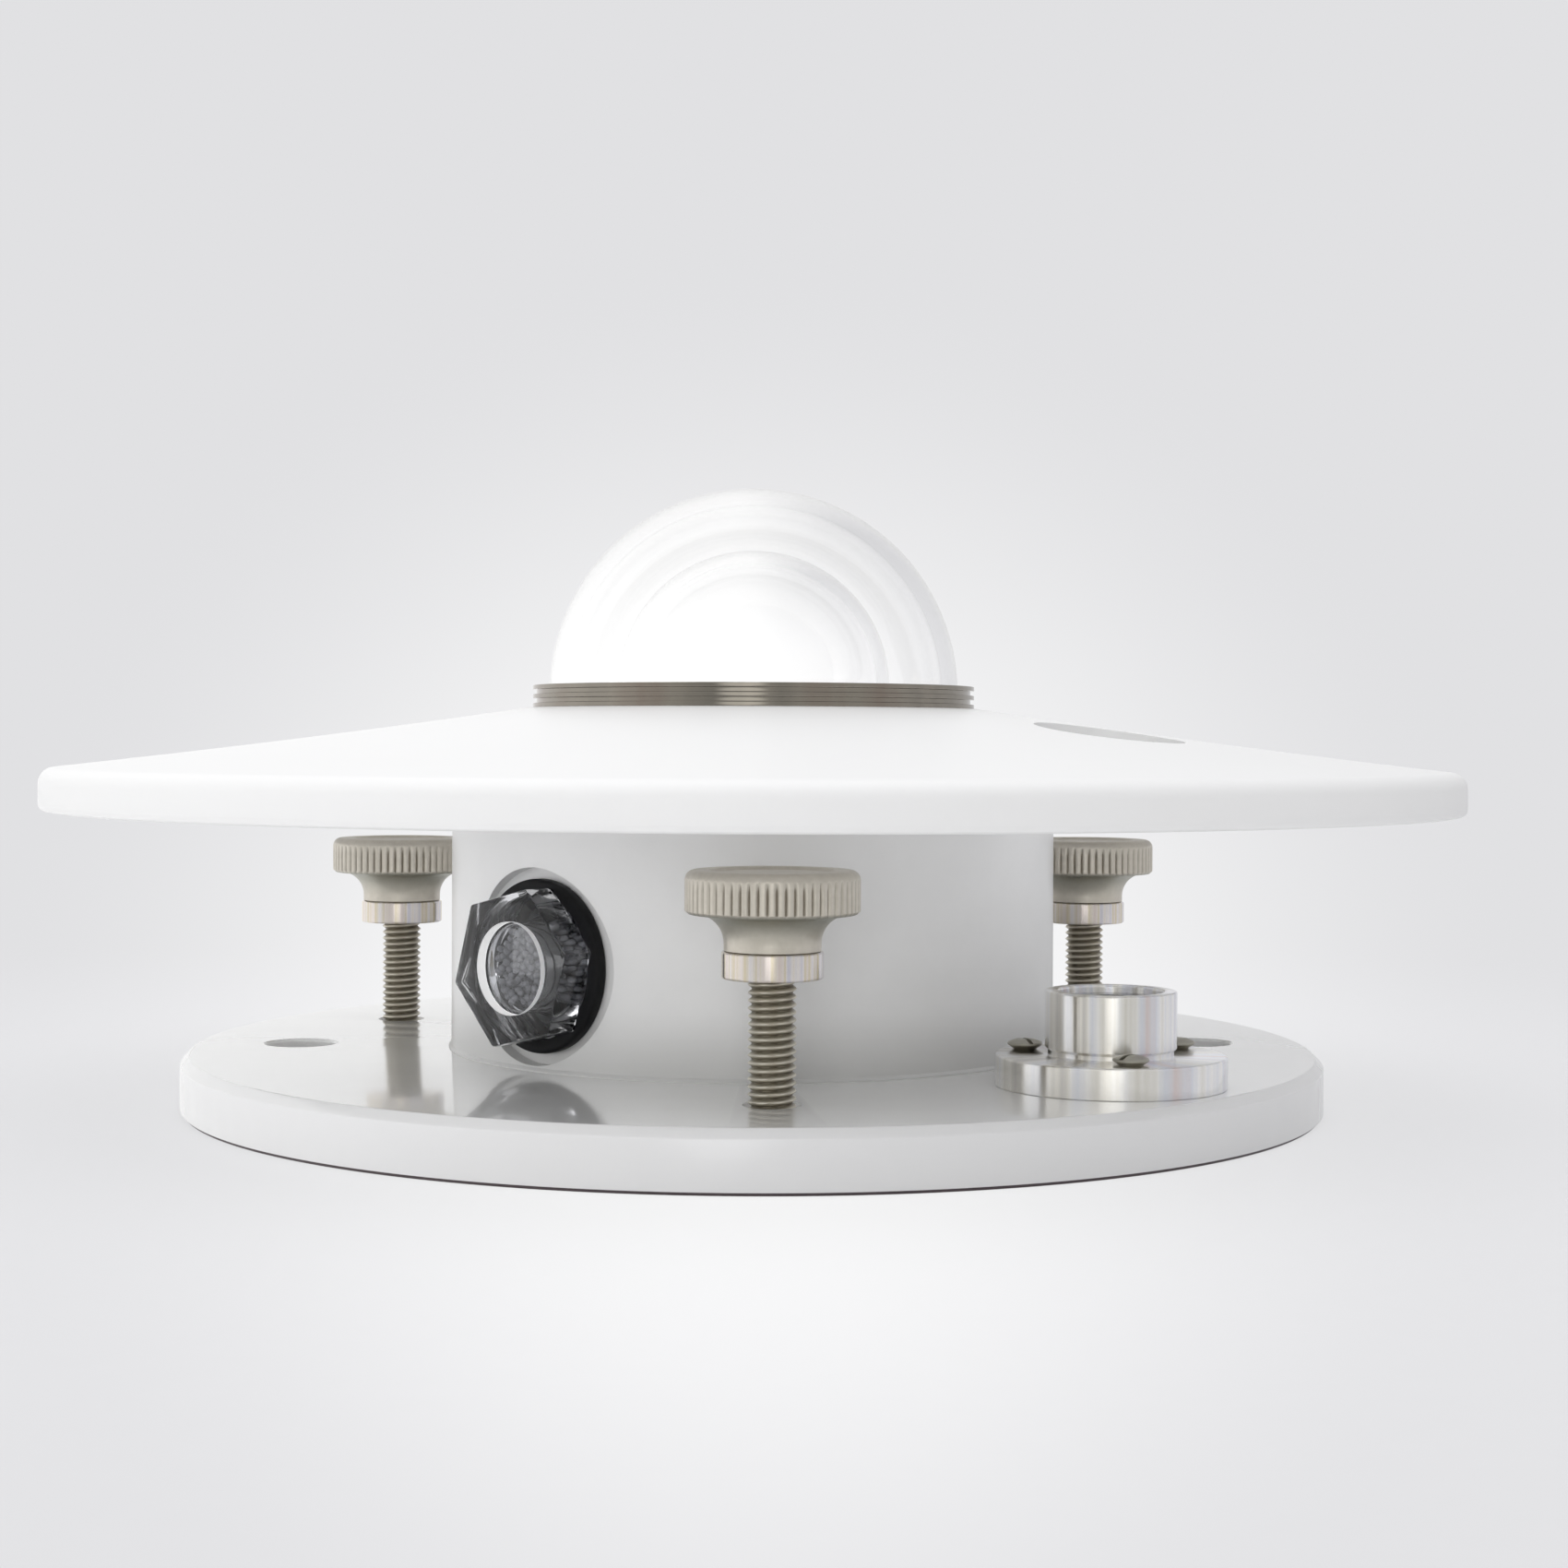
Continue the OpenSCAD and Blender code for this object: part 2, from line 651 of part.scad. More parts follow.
// Lead from a pin's back towards the middle, round a bend and up to the terminals
module output_lead(x, z, y) {
    start = socket_back - pin_back;
    translate([x, start, z]) rotate([90, 0, 0])
        cylinder(r = lead_r, h = start - y - lead_bend_r);
    translate([x, y + lead_bend_r, z + lead_bend_r]) rotate([0, 0, 180]) rotate([0, 90, 0])
        rotate_extrude(angle = 90) translate([lead_bend_r, 0]) circle(lead_r);
    translate([x, y, z + lead_bend_r])
        cylinder(r = lead_r, h = terminal_bottom - z - lead_bend_r);
}

module output_leads() color("firebrick") for (side = [-1, 1]) {
    output_lead(side * pin_offset, socket_z + pin_offset, lead_y);
    output_lead(side * pin_offset, socket_z - pin_offset, -lead_y);
}

module socket_shell() color("silver") radial(socket_angle, socket_z) difference() {
    rotate_extrude() polygon([[insert_r, socket_back], [socket_body_r, socket_back],
        [socket_body_r, socket_face], [socket_flange_r, socket_face],
        [socket_flange_r, socket_floor], [socket_r, socket_floor], [socket_r, socket_mouth],
        [insert_r, socket_mouth]]);
    around(socket_screw_circle, [for (i = [0:2]) i * 120], socket_face - overrun)
        cylinder(r = socket_screw_r + bond_gap, h = socket_flange_t + 2 * overrun);
}

module socket_gasket() color("black") radial(socket_angle, socket_z) difference() {
    translate([0, 0, socket_seat])
        flat_ring(socket_body_r + fit_gap, socket_flange_r, socket_gasket_t);
    around(socket_screw_circle, [for (i = [0:2]) i * 120], socket_seat - overrun)
        cylinder(r = socket_screw_r + bond_gap, h = socket_gasket_t + 2 * overrun);
}

module socket_screws() color("silver") radial(socket_angle, socket_z)
    around(socket_screw_circle, [for (i = [0:2]) i * 120], socket_floor)
        cap_screw(socket_screw_r, socket_screw_head_r, socket_screw_head_h,
            socket_flange_t + socket_gasket_t + socket_screw_bite - bond_gap);

module socket_insert() color("black") radial(socket_angle, socket_z) difference() {
    translate([0, 0, socket_back]) cylinder(r = insert_r - bond_gap,
        h = socket_floor + insert_out - socket_back);
    around(pin_circle, [for (i = [0:pin_count - 1]) 45 + i * 360 / pin_count],
        socket_back - overrun)
        cylinder(r = pin_r + bond_gap, h = socket_floor + insert_out - socket_back + 2 * overrun);
}

module socket_pins() color("gold") radial(socket_angle, socket_z)
    around(pin_circle, [for (i = [0:pin_count - 1]) 45 + i * 360 / pin_count],
        socket_back - pin_back)
        cylinder(r = pin_r, h = socket_floor + insert_out + pin_out - socket_back + pin_back);

module level_housing() color("silver") at_level() difference() {
    rotate_extrude() polygon([[0, base_top], [level_flange_r, base_top],
        [level_flange_r, base_top + level_flange_h - level_edge],
        [level_flange_r - level_edge, base_top + level_flange_h],
        [level_tube_r - level_groove_depth, base_top + level_flange_h],
        [level_tube_r - level_groove_depth, base_top + level_flange_h + level_groove_w],
        [level_tube_r, base_top + level_flange_h + level_groove_w + level_groove_depth],
        [level_tube_r, level_top - level_edge], [level_tube_r - level_edge, level_top],
        [level_bore_r + level_edge, level_top], [level_bore_r, level_top - level_edge],
        [level_bore_r, vial_foot_z], [0, vial_foot_z]]);
    around(level_screw_circle, [for (i = [0:2]) level_screw_phase + i * 120],
        base_top - overrun)
        cylinder(r = level_screw_r + bond_gap, h = level_flange_h + 2 * overrun);
}

// Outline of the liquid's space under the vial's crowned lid
module vial_space(r) intersection() {
    translate([0, vial_top - vial_lid - vial_crown_r]) circle(vial_crown_r);
    translate([0, vial_foot_z + vial_wall])
        square([r, vial_top - vial_lid - vial_foot_z - vial_wall]);
}

module level_vial() color("lightcyan", 0.35) at_level() rotate_extrude() difference() {
    translate([0, vial_foot_z]) square([vial_r, vial_top - vial_foot_z]);
    vial_space(vial_r - vial_wall);
}

module level_liquid() color("palegreen", 0.5) at_level() difference() {
    rotate_extrude() vial_space(vial_r - vial_wall);
    translate([0, 0, vial_top - vial_lid - bubble_h]) cylinder(r = bubble_r, h = bubble_h);
}

// Raised countersunk screws that stand proud of the flange
module level_screws() color("dimgray")
    at_level_screws(base_top + level_flange_h) rotate_extrude() polygon([
        [0, -level_flange_h - level_screw_bite + bond_gap],
        [level_screw_r, -level_flange_h - level_screw_bite + bond_gap], [level_screw_r, 0],
        [level_screw_head_r, level_screw_head_h],
        [level_screw_head_r / 2, level_screw_head_h + level_screw_crown],
        [0, level_screw_head_h + level_screw_crown]]);

module drying_washer() color("black") radial(plug_angle, plug_z) rotate_extrude() polygon([
    [plug_thread_r + washer_in_gap, washer_face], [washer_d / 2 - washer_round, washer_face],
    [washer_d / 2, washer_face + washer_round],
    [washer_d / 2, washer_face + washer_t - washer_round],
    [washer_d / 2 - washer_round, washer_face + washer_t],
    [plug_thread_r + washer_in_gap, washer_face + washer_t]]);

// Clear plug: hexagon head with a sunk round window, thread in the wall, hollow capsule inside
module drying_plug() color("lightgray", 0.5) radial(plug_angle, plug_z) difference() {
    union() {
        rotate([0, 0, plug_hex_turn]) intersection() {
            translate([0, 0, plug_face]) cylinder(r = plug_hex_r, h = plug_hex_h, $fn = 6);
            translate([0, 0, plug_face]) cylinder(r1 = plug_hex_r - plug_hex_chamfer
                + plug_hex_h, r2 = plug_hex_r - plug_hex_chamfer, h = plug_hex_h);
        }
        translate([0, 0, seat - plug_boss_l]) cylinder(r = plug_thread_r,
            h = gel_front - seat + plug_boss_l);
        translate([0, 0, capsule_end]) cylinder(r = capsule_r, h = gel_front - capsule_end);
    }
    translate([0, 0, capsule_end - overrun]) cylinder(r = capsule_bore_r,
        h = gel_front - capsule_end + overrun);
    translate([0, 0, plug_face + plug_hex_h - plug_window_depth])
        cylinder(r = plug_window_r, h = plug_window_depth + overrun);
}

module drying_gel() color("orange") radial(plug_angle, plug_z)
    translate([0, 0, capsule_end + cap_spigot]) cylinder(r = capsule_bore_r - gel_gap,
        h = gel_front - capsule_end - cap_spigot);

module drying_cap() color("white") radial(plug_angle, plug_z) difference() {
    union() {
        translate([0, 0, capsule_end - cap_t]) cylinder(r = capsule_r, h = cap_t);
        translate([0, 0, capsule_end]) cylinder(r = capsule_bore_r - gel_gap, h = cap_spigot);
    }
    around(cap_hole_circle, [for (i = [0:cap_hole_count - 1]) i * 360 / cap_hole_count],
        capsule_end - cap_t - overrun)
        cylinder(r = cap_hole_r, h = cap_t + cap_spigot + 2 * overrun);
}

// Head of a levelling screw: neck, cove, band to be knurled, dished top
module knob(i) color("tan") around(screw_circle_r, [screw_angles[i]], 0) {
    band_z = knob_top - knurl_h;
    rotate_extrude() polygon(concat(
        [[stud_r + bond_gap, knob_z], [knob_neck_r, knob_z]],
        arc(knob_neck_r + knob_cove_r, band_z - knob_cove_r, knob_cove_r, 180, 90, cove_steps),
        [[knob_r - knob_band_edge, band_z], [knob_r, band_z + knob_band_edge]],
        arc(knob_r - knob_top_round, knob_top - knob_top_round, knob_top_round, 0, 90,
            round_steps),
        [[knob_dish_r, knob_top], [knob_dish_r - knob_dish_depth, knob_top - knob_dish_depth],
            [0, knob_top - knob_dish_depth], [0, knob_z + stud_grip],
            [stud_r + bond_gap, knob_z + stud_grip]]));
}

module collar(i) color("silver") around(screw_circle_r, [screw_angles[i]], 0)
    rotate_extrude() polygon([[stud_r + running_gap, collar_z],
        [collar_r - collar_edge, collar_z], [collar_r, collar_z + collar_edge],
        [collar_r, collar_z + collar_h - collar_edge],
        [collar_r - collar_edge, collar_z + collar_h],
        [stud_r + running_gap, collar_z + collar_h]]);

module stud(i) color("dimgray") around(screw_circle_r, [screw_angles[i]], 0)
    rotate_extrude() polygon([[0, stud_tip_z], [stud_r - stud_tip_chamfer, stud_tip_z],
        [stud_r, stud_tip_z + stud_tip_chamfer], [stud_r, knob_z + stud_grip],
        [0, knob_z + stud_grip]]);

base_plate();
housing_seal();
housing();
housing_screws();
sun_shade();
dome_ring();
dome_seal();
outer_dome();
inner_dome();
inner_dome_ring();
sensor_block();
sensor_screws();
thermopile();
receiver_disc();
guard_plate();
sensor_leads();
terminal_board();
board_standoffs();
board_screws();
terminal_block();
trim_resistors();
output_leads();
socket_shell();
socket_gasket();
socket_insert();
socket_pins();
socket_screws();
level_housing();
level_vial();
level_liquid();
level_screws();
drying_washer();
drying_plug();
drying_gel();
drying_cap();
knob(0);  // front_knob
collar(0);  // front_collar
stud(0);  // front_stud
knob(1);  // left_knob
collar(1);  // left_collar
stud(1);  // left_stud
knob(2);  // right_knob
collar(2);  // right_collar
stud(2);  // right_stud
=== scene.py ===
# Pyranometer: two glass domes over a thermopile, a round housing under a saucer shade,
# a base plate on three levelling screws, a bubble level and a clear drying cartridge.
import math

import bmesh
import bpy
from mathutils import Matrix, Vector


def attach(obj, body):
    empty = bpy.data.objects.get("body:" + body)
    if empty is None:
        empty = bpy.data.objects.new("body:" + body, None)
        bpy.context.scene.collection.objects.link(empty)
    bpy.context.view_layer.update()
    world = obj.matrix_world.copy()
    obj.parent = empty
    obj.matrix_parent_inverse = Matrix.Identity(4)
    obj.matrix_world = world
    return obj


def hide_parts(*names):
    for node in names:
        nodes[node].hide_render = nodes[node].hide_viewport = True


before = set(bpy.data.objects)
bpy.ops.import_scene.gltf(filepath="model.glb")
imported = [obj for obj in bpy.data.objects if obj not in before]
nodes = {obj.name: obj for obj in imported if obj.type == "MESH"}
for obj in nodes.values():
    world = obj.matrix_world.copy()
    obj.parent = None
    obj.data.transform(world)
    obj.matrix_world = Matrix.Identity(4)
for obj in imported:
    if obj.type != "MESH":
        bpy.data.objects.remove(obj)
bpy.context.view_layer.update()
mm = 0.001
print("frame loaded,", len(nodes), "nodes")


# Small helpers

def linear(hexColour):
    parts = [int(hexColour[i:i + 2], 16) / 255 for i in (1, 3, 5)]
    return (*(c / 12.92 if c <= 0.04045 else ((c + 0.055) / 1.055) ** 2.4 for c in parts), 1.0)


def perMetre(widthMm):
    # texture scale that makes one feature this wide, on coordinates in metres
    return 1000 / widthMm


def feed(tree, node, inputs):
    # sets or links inputs, given by name or in order; a node stands for its first live output
    for key, value in inputs.items() if isinstance(inputs, dict) else enumerate(inputs):
        if isinstance(value, bpy.types.Node):
            value = next(socket for socket in value.outputs if socket.enabled)
        if isinstance(value, bpy.types.NodeSocket):
            tree.links.new(value, node.inputs[key])
        else:
            node.inputs[key].default_value = value


def addNode(tree, kind, inputs=(), **settings):
    # shader nodes go by their name without its prefix
    node = tree.nodes.new(kind if "Node" in kind else "ShaderNode" + kind)
    for key, value in settings.items():
        setattr(node, key, value)
    feed(tree, node, inputs)
    return node


def newFinish(name, values):
    # a material with its Principled shader's plain values set
    material = bpy.data.materials.new(name)
    material.use_nodes = True
    tree = material.node_tree
    shader = tree.nodes["Principled BSDF"]
    feed(tree, shader, values)
    return material, tree, shader


def placeAt(x=0, y=0, z=0):
    return Matrix.Translation((x * mm, y * mm, z * mm))


def turnBy(angle, axis="Z"):
    return Matrix.Rotation(math.radians(angle), 4, axis)


def radialPlace(angle, z):
    # local Z points outwards at this angle, local X points down
    return turnBy(angle) @ placeAt(z=z) @ turnBy(90, "Y")


def rounded(points, closed=True, steps=4):
    # points are (radius, height) or (radius, height, fillet), all in mm
    out = []
    count = len(points)
    for i, point in enumerate(points):
        here = Vector(point[:2])
        if len(point) < 3 or (not closed and i in (0, count - 1)):
            out.append(here)
            continue
        before = Vector(points[i - 1][:2]) - here
        after = Vector(points[(i + 1) % count][:2]) - here
        half = before.angle(after) / 2
        reach = min(point[2] / math.tan(half), 0.48 * before.length, 0.48 * after.length)
        start, end = here + before.normalized() * reach, here + after.normalized() * reach
        for k in range(steps + 1):
            t = k / steps
            out.append(start * (1 - t) ** 2 + here * 2 * t * (1 - t) + end * t * t)
    return [(p.x, p.y) for p in out]


def arc(x, y, radius, start, end, steps):
    angles = [math.radians(start + (end - start) * i / steps) for i in range(steps + 1)]
    return [(x + radius * math.cos(a), y + radius * math.sin(a)) for a in angles]


def stepped(foot, *steps):
    # an outline from the axis and back: each step gives its radius and top, or its fillet too
    outline = [(0, foot)]
    for radius, top, *fillet in steps:
        outline += [(radius, foot), (radius, top, *fillet)]
        foot = top
    return outline + [(0, foot)]


def meshPiece(name, mesh, material=None):
    piece = bpy.data.objects.new(name, mesh)
    bpy.context.scene.collection.objects.link(piece)
    if material:
        mesh.materials.clear()
        mesh.materials.append(material)
    return piece


def meshFrom(shape, name):
    mesh = bpy.data.meshes.new(name)
    shape.to_mesh(mesh)
    shape.free()
    return mesh


def turnedMesh(name, profile, segments=96, closed=True):
    # a profile in mm turned about Z; "turned" keeps (cos, sin, length along the profile)
    profile = [p for i, p in enumerate(profile)
               if i == 0 or math.dist(p, profile[i - 1]) > 1e-6]
    if closed and math.dist(profile[0], profile[-1]) < 1e-6:
        profile = profile[:-1]
    shape = bmesh.new()
    kept = shape.verts.layers.float_vector.new("turned")
    rings, along = [], 0
    for i, (radius, height) in enumerate(profile):
        along += math.dist(profile[i - 1], profile[i]) * mm if i else 0
        ring = []
        for k in range(1 if radius < 1e-6 else segments):
            a = 2 * math.pi * k / segments
            vert = shape.verts.new((radius * mm * math.cos(a), radius * mm * math.sin(a),
                                    height * mm))
            vert[kept] = (math.cos(a), math.sin(a), along)
            ring.append(vert)
        rings.append(ring)
    pairs = list(zip(rings, rings[1:]))
    if closed and not (len(rings[0]) == 1 and len(rings[-1]) == 1):
        pairs.append((rings[-1], rings[0]))
    for low, high in pairs:
        for k in range(segments):
            quad = [low[k % len(low)], low[(k + 1) % len(low)],
                    high[(k + 1) % len(high)], high[k % len(high)]]
            corners = list(dict.fromkeys(quad))
            if len(corners) > 2:
                shape.faces.new(corners)
    bmesh.ops.recalc_face_normals(shape, faces=shape.faces)
    return meshFrom(shape, name)


def smoothEdges(mesh, angle=32):
    mesh.shade_smooth()
    mesh.set_sharp_from_angle(angle=math.radians(angle))


def plain(piece):
    # what the modifiers make becomes the piece's own mesh
    graph = bpy.context.evaluated_depsgraph_get()
    mesh = bpy.data.meshes.new_from_object(piece.evaluated_get(graph), depsgraph=graph)
    piece.modifiers.clear()
    old, piece.data = piece.data, mesh
    bpy.data.meshes.remove(old)


def cutAway(piece, cutters, operation="DIFFERENCE"):
    for cutter in cutters:
        tool = piece.modifiers.new(cutter.name, "BOOLEAN")
        tool.operation = operation
        tool.solver = "EXACT"
        tool.object = cutter
    plain(piece)
    for cutter in cutters:
        bpy.data.objects.remove(cutter)


def turnedCutter(profile, place, segments=64):
    mesh = turnedMesh("cutter", profile, segments)
    mesh.transform(place)
    return meshPiece("cutter", mesh)


def finishPiece(piece, body, replaced=(), place=None, angle=32):
    # brings the mesh to its place, shades it, and ties it to its CAD body
    if place is not None:
        piece.data.transform(place)
    smoothEdges(piece.data, angle)
    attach(piece, body)
    if replaced:
        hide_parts(*replaced)
    return piece


def turnedPiece(name, profile, material, body, replaced=(), place=None, segments=96,
                closed=True, angle=32):
    piece = meshPiece(name, turnedMesh(name, profile, segments, closed), material)
    finishPiece(piece, body, replaced, place, angle)


def startTree(name, sizes):
    # a Geometry Nodes tree with named inputs; sizes gives socket type and first value
    tree = bpy.data.node_groups.new(name, "GeometryNodeTree")
    tree.is_modifier = True
    tree.interface.new_socket("Geometry", in_out="INPUT", socket_type="NodeSocketGeometry")
    for label, (kind, value) in sizes.items():
        socket = tree.interface.new_socket(label, in_out="INPUT", socket_type=kind)
        if value is not None:
            socket.default_value = value
    tree.interface.new_socket("Finish", in_out="INPUT", socket_type="NodeSocketMaterial")
    tree.interface.new_socket("Geometry", in_out="OUTPUT", socket_type="NodeSocketGeometry")
    return tree, tree.nodes.new("NodeGroupInput").outputs


def endTree(tree, given, geometry):
    whole = addNode(tree, "GeometryNodeRealizeInstances", {"Geometry": geometry})
    painted = addNode(tree, "GeometryNodeSetMaterial", {
        "Geometry": whole, "Material": given["Finish"]})
    addNode(tree, "NodeGroupOutput", [painted])
    return tree


def grow(piece, tree, sizes, material):
    # adds the tree as a modifier, with its inputs set by their identifiers
    grown = piece.modifiers.new(tree.name, "NODES")
    grown.node_group = tree
    for socket in tree.interface.items_tree:
        if socket.item_type == "SOCKET" and socket.in_out == "INPUT":
            if socket.name in sizes:
                grown[socket.identifier] = sizes[socket.name]
            elif socket.name == "Finish":
                grown[socket.identifier] = material


# Camera, level with the housing's deck, a little left of the front
cameraLook = {"place": (-12.09, -309.97, 44.15), "turn": 2.3, "roll": 0.25,
              "lens": 58.0, "shiftX": 0.0177, "shiftY": -0.0307}

cameraData = bpy.data.cameras.new("camera")
cameraData.lens = cameraLook["lens"]
cameraData.sensor_width = 36
cameraData.shift_x = cameraLook["shiftX"]
cameraData.shift_y = cameraLook["shiftY"]
cameraData.clip_start = 0.01
cameraData.clip_end = 20
camera = bpy.data.objects.new("camera", cameraData)
camera.matrix_world = (placeAt(*cameraLook["place"]) @ turnBy(-cameraLook["turn"])
                       @ turnBy(90, "X") @ turnBy(cameraLook["roll"]))
bpy.context.scene.collection.objects.link(camera)
bpy.context.scene.camera = camera
bpy.context.scene.view_settings.view_transform = "Standard"


# Finishes

# the middle part of a noise texture's values, which is spread over a roughness range
noiseLow, noiseHigh = 0.3, 0.7
# how deep orange peel and tool rings are, as a share of their width
peelDepth, ringDepth = 0.05, 0.08


def paintFinish(name, tones, widths, peelStrength, rough, values):
    # sprayed and moulded surfaces: faint mottle between two tones, fine dust in the gloss,
    # orange peel; widths in mm are those of the mottle, the dust and the peel
    material, tree, shader = newFinish(name, values)
    point = addNode(tree, "TexCoord").outputs["Object"]
    mottle, dust, peel = (
        addNode(tree, "TexNoise", {"Vector": point, "Scale": perMetre(width),
                                   "Detail": detail, "Roughness": fine})
        for width, detail, fine in zip(widths, (3.0, 5.0, 2.0), (0.5, 0.6, 0.5)))
    shades = addNode(tree, "Mix", {
        "Factor": mottle, "A": linear(tones[0]), "B": linear(tones[1])}, data_type="RGBA")
    gloss = addNode(tree, "MapRange", {
        "Value": dust, "From Min": noiseLow, "From Max": noiseHigh, "To Min": rough[0],
        "To Max": rough[1]})
    raised = addNode(tree, "Bump", {
        "Strength": peelStrength, "Distance": widths[2] * mm * peelDepth, "Height": peel})
    feed(tree, shader, {"Base Color": shades, "Roughness": gloss, "Normal": raised})
    return material


def tintOver(material, tone, amountOf):
    # mixes a tone over the colour, as much as amountOf says at each place
    tree = material.node_tree
    shader = tree.nodes["Principled BSDF"]
    base = shader.inputs["Base Color"]
    clean = base.links[0].from_socket if base.links else tuple(base.default_value)
    mixed = addNode(tree, "Mix", {
        "Factor": amountOf(tree), "A": clean, "B": linear(tone)}, data_type="RGBA")
    feed(tree, shader, {"Base Color": mixed})


def darkenGrooves(material, tone, share):
    # dirt and painted shade in the roots: the "groove" attribute says how deep a place lies
    def amountOf(tree):
        depth = addNode(tree, "Attribute", attribute_name="groove")
        return addNode(tree, "Math", [depth.outputs["Fac"], share], operation="MULTIPLY")
    tintOver(material, tone, amountOf)


def paintedShadeUnderHead(material, tone, share, foot, top):
    # painted shade in the cove under the head, darkest just below the knurled band; heights in
    # mm
    def amountOf(tree):
        point = addNode(tree, "TexCoord").outputs["Object"]
        z = addNode(tree, "SeparateXYZ", [point]).outputs["Z"]
        rise = addNode(tree, "MapRange", {
            "Value": z, "From Min": foot * mm, "From Max": (top - 0.4) * mm, "To Max": share})
        fall = addNode(tree, "MapRange", {
            "Value": z, "From Min": (top - 0.3) * mm, "From Max": top * mm, "To Min": 1.0,
            "To Max": 0.0})
        return addNode(tree, "Math", [rise, fall], operation="MULTIPLY")
    tintOver(material, tone, amountOf)


def paintedFootShade(material, tone, share, foot, top):
    # painted shade and reflection that darken a wall towards its foot; heights in mm
    def amountOf(tree):
        point = addNode(tree, "TexCoord").outputs["Object"]
        z = addNode(tree, "SeparateXYZ", [point]).outputs["Z"]
        return addNode(tree, "MapRange", {
            "Value": z, "From Min": foot * mm, "From Max": top * mm, "To Min": share,
            "To Max": 0.0}, interpolation_type="SMOOTHSTEP")
    tintOver(material, tone, amountOf)


def turnedFinish(name, tones, rings, bandCount, rough, stretch=0.0, onAxis=False):
    # metal off the lathe: tool rings along the profile, and bands of tone round the axis, which
    # on the bright aluminium are painted reflections of what stands round; rings gives their
    # width in mm and how far they stand out, and stretch smears reflections along the profile;
    # onAxis is for CAD nodes, which hold no attribute
    material, tree, shader = newFinish(name, {"Metallic": 1.0, "Anisotropic": stretch})
    if onAxis:
        point = addNode(tree, "TexCoord").outputs["Object"]
        x, y, z = addNode(tree, "SeparateXYZ", [point]).outputs
        flat = addNode(tree, "CombineXYZ", {"X": x, "Y": y})
        around = addNode(tree, "VectorMath", [flat], operation="NORMALIZE")
        reach = addNode(tree, "VectorMath", [flat], operation="LENGTH")
        along = addNode(tree, "Math", [reach, z], operation="ADD")
    else:
        kept = addNode(tree, "Attribute", attribute_name="turned")
        x, y, along = addNode(tree, "SeparateXYZ", [kept.outputs["Vector"]]).outputs
        around = addNode(tree, "CombineXYZ", {"X": x, "Y": y})
    ringPoint = addNode(tree, "CombineXYZ", {"X": along})
    ringNoise = addNode(tree, "TexNoise", {
        "Vector": ringPoint, "Scale": perMetre(rings[0]), "Detail": 4.0, "Roughness": 0.7})
    toneAndReflectionBands = addNode(tree, "TexNoise", {
        "Vector": around, "Scale": bandCount, "Detail": 3.0, "Roughness": 0.55})
    ramp = addNode(tree, "ValToRGB", {"Fac": toneAndReflectionBands})
    stops = ramp.color_ramp.elements
    for i in (0, -1):
        stops[i].position, stops[i].color = tones[i][0], linear(tones[i][1])
    for place, tone in tones[1:-1]:
        stops.new(place).color = linear(tone)
    gloss = addNode(tree, "MapRange", {
        "Value": ringNoise, "From Min": noiseLow, "From Max": noiseHigh, "To Min": rough[0],
        "To Max": rough[1]})
    raised = addNode(tree, "Bump", {
        "Strength": rings[1], "Distance": rings[0] * mm * ringDepth, "Height": ringNoise})
    feed(tree, shader, {"Base Color": ramp, "Roughness": gloss, "Normal": raised})
    if stretch:
        profileWay = addNode(tree, "CombineXYZ", {"X": x, "Y": y, "Z": -1.0})
        worldWay = addNode(tree, "VectorTransform", [profileWay], vector_type="VECTOR",
                           convert_from="OBJECT", convert_to="WORLD")
        feed(tree, shader, {"Tangent": worldWay})
    return material


def clearFinish(name, tones, smearMm, rough, values):
    # polished glass and acrylic: almost even, with a trace of handling on the surface
    material, tree, shader = newFinish(name, values)
    point = addNode(tree, "TexCoord").outputs["Object"]
    smear = addNode(tree, "TexNoise", {
        "Vector": point, "Scale": perMetre(smearMm), "Detail": 4.0, "Distortion": 0.6})
    gloss = addNode(tree, "MapRange", {
        "Value": smear, "From Min": 0.45, "From Max": 0.75, "To Min": rough[0],
        "To Max": rough[1]})
    tint = addNode(tree, "Mix", {
        "Factor": smear, "A": linear(tones[0]), "B": linear(tones[1])}, data_type="RGBA")
    feed(tree, shader, {"Roughness": gloss, "Base Color": tint})
    return material


# Base plate: aluminium, sprayed and stoved with gloss enamel. The paint flows out before it
# sets, so the white is even and mirrors what stands on it, with a trace of orange peel
glossEnamel = paintFinish(
    "glossStovedEnamel", ("#f6f6f5", "#f3f3f2"), (40, 4.0, 2.2), 0.01, (0.24, 0.25),
    {"Coat Weight": 1.0, "Coat Roughness": 0.07, "Coat IOR": 1.8, "IOR": 1.5})
# Housing: the same enamel in a flatter grade on a turned casting. Satin white with a fine
# peel, and painted shade and reflection that darken it towards its foot
housingEnamel = paintFinish(
    "satinStovedEnamel", ("#f9f9f8", "#f3f3f2"), (5.0, 1.6, 1.1), 0.06, (0.36, 0.4),
    {"Coat Weight": 0.3, "Coat Roughness": 0.2, "IOR": 1.5})
paintedFootShade(housingEnamel, "#bfbfbc", 0.5, foot=7, top=15)
# Sun shade: ABS from a polished mould. Soft even white, with flow marks far too faint to
# read as a pattern
shadePlastic = paintFinish(
    "glossMouldedAbs", ("#f2f2f0", "#efefed"), (40, 5.0, 3.0), 0.01, (0.42, 0.43),
    {"Coat Weight": 0.15, "Coat Roughness": 0.2, "IOR": 1.5})
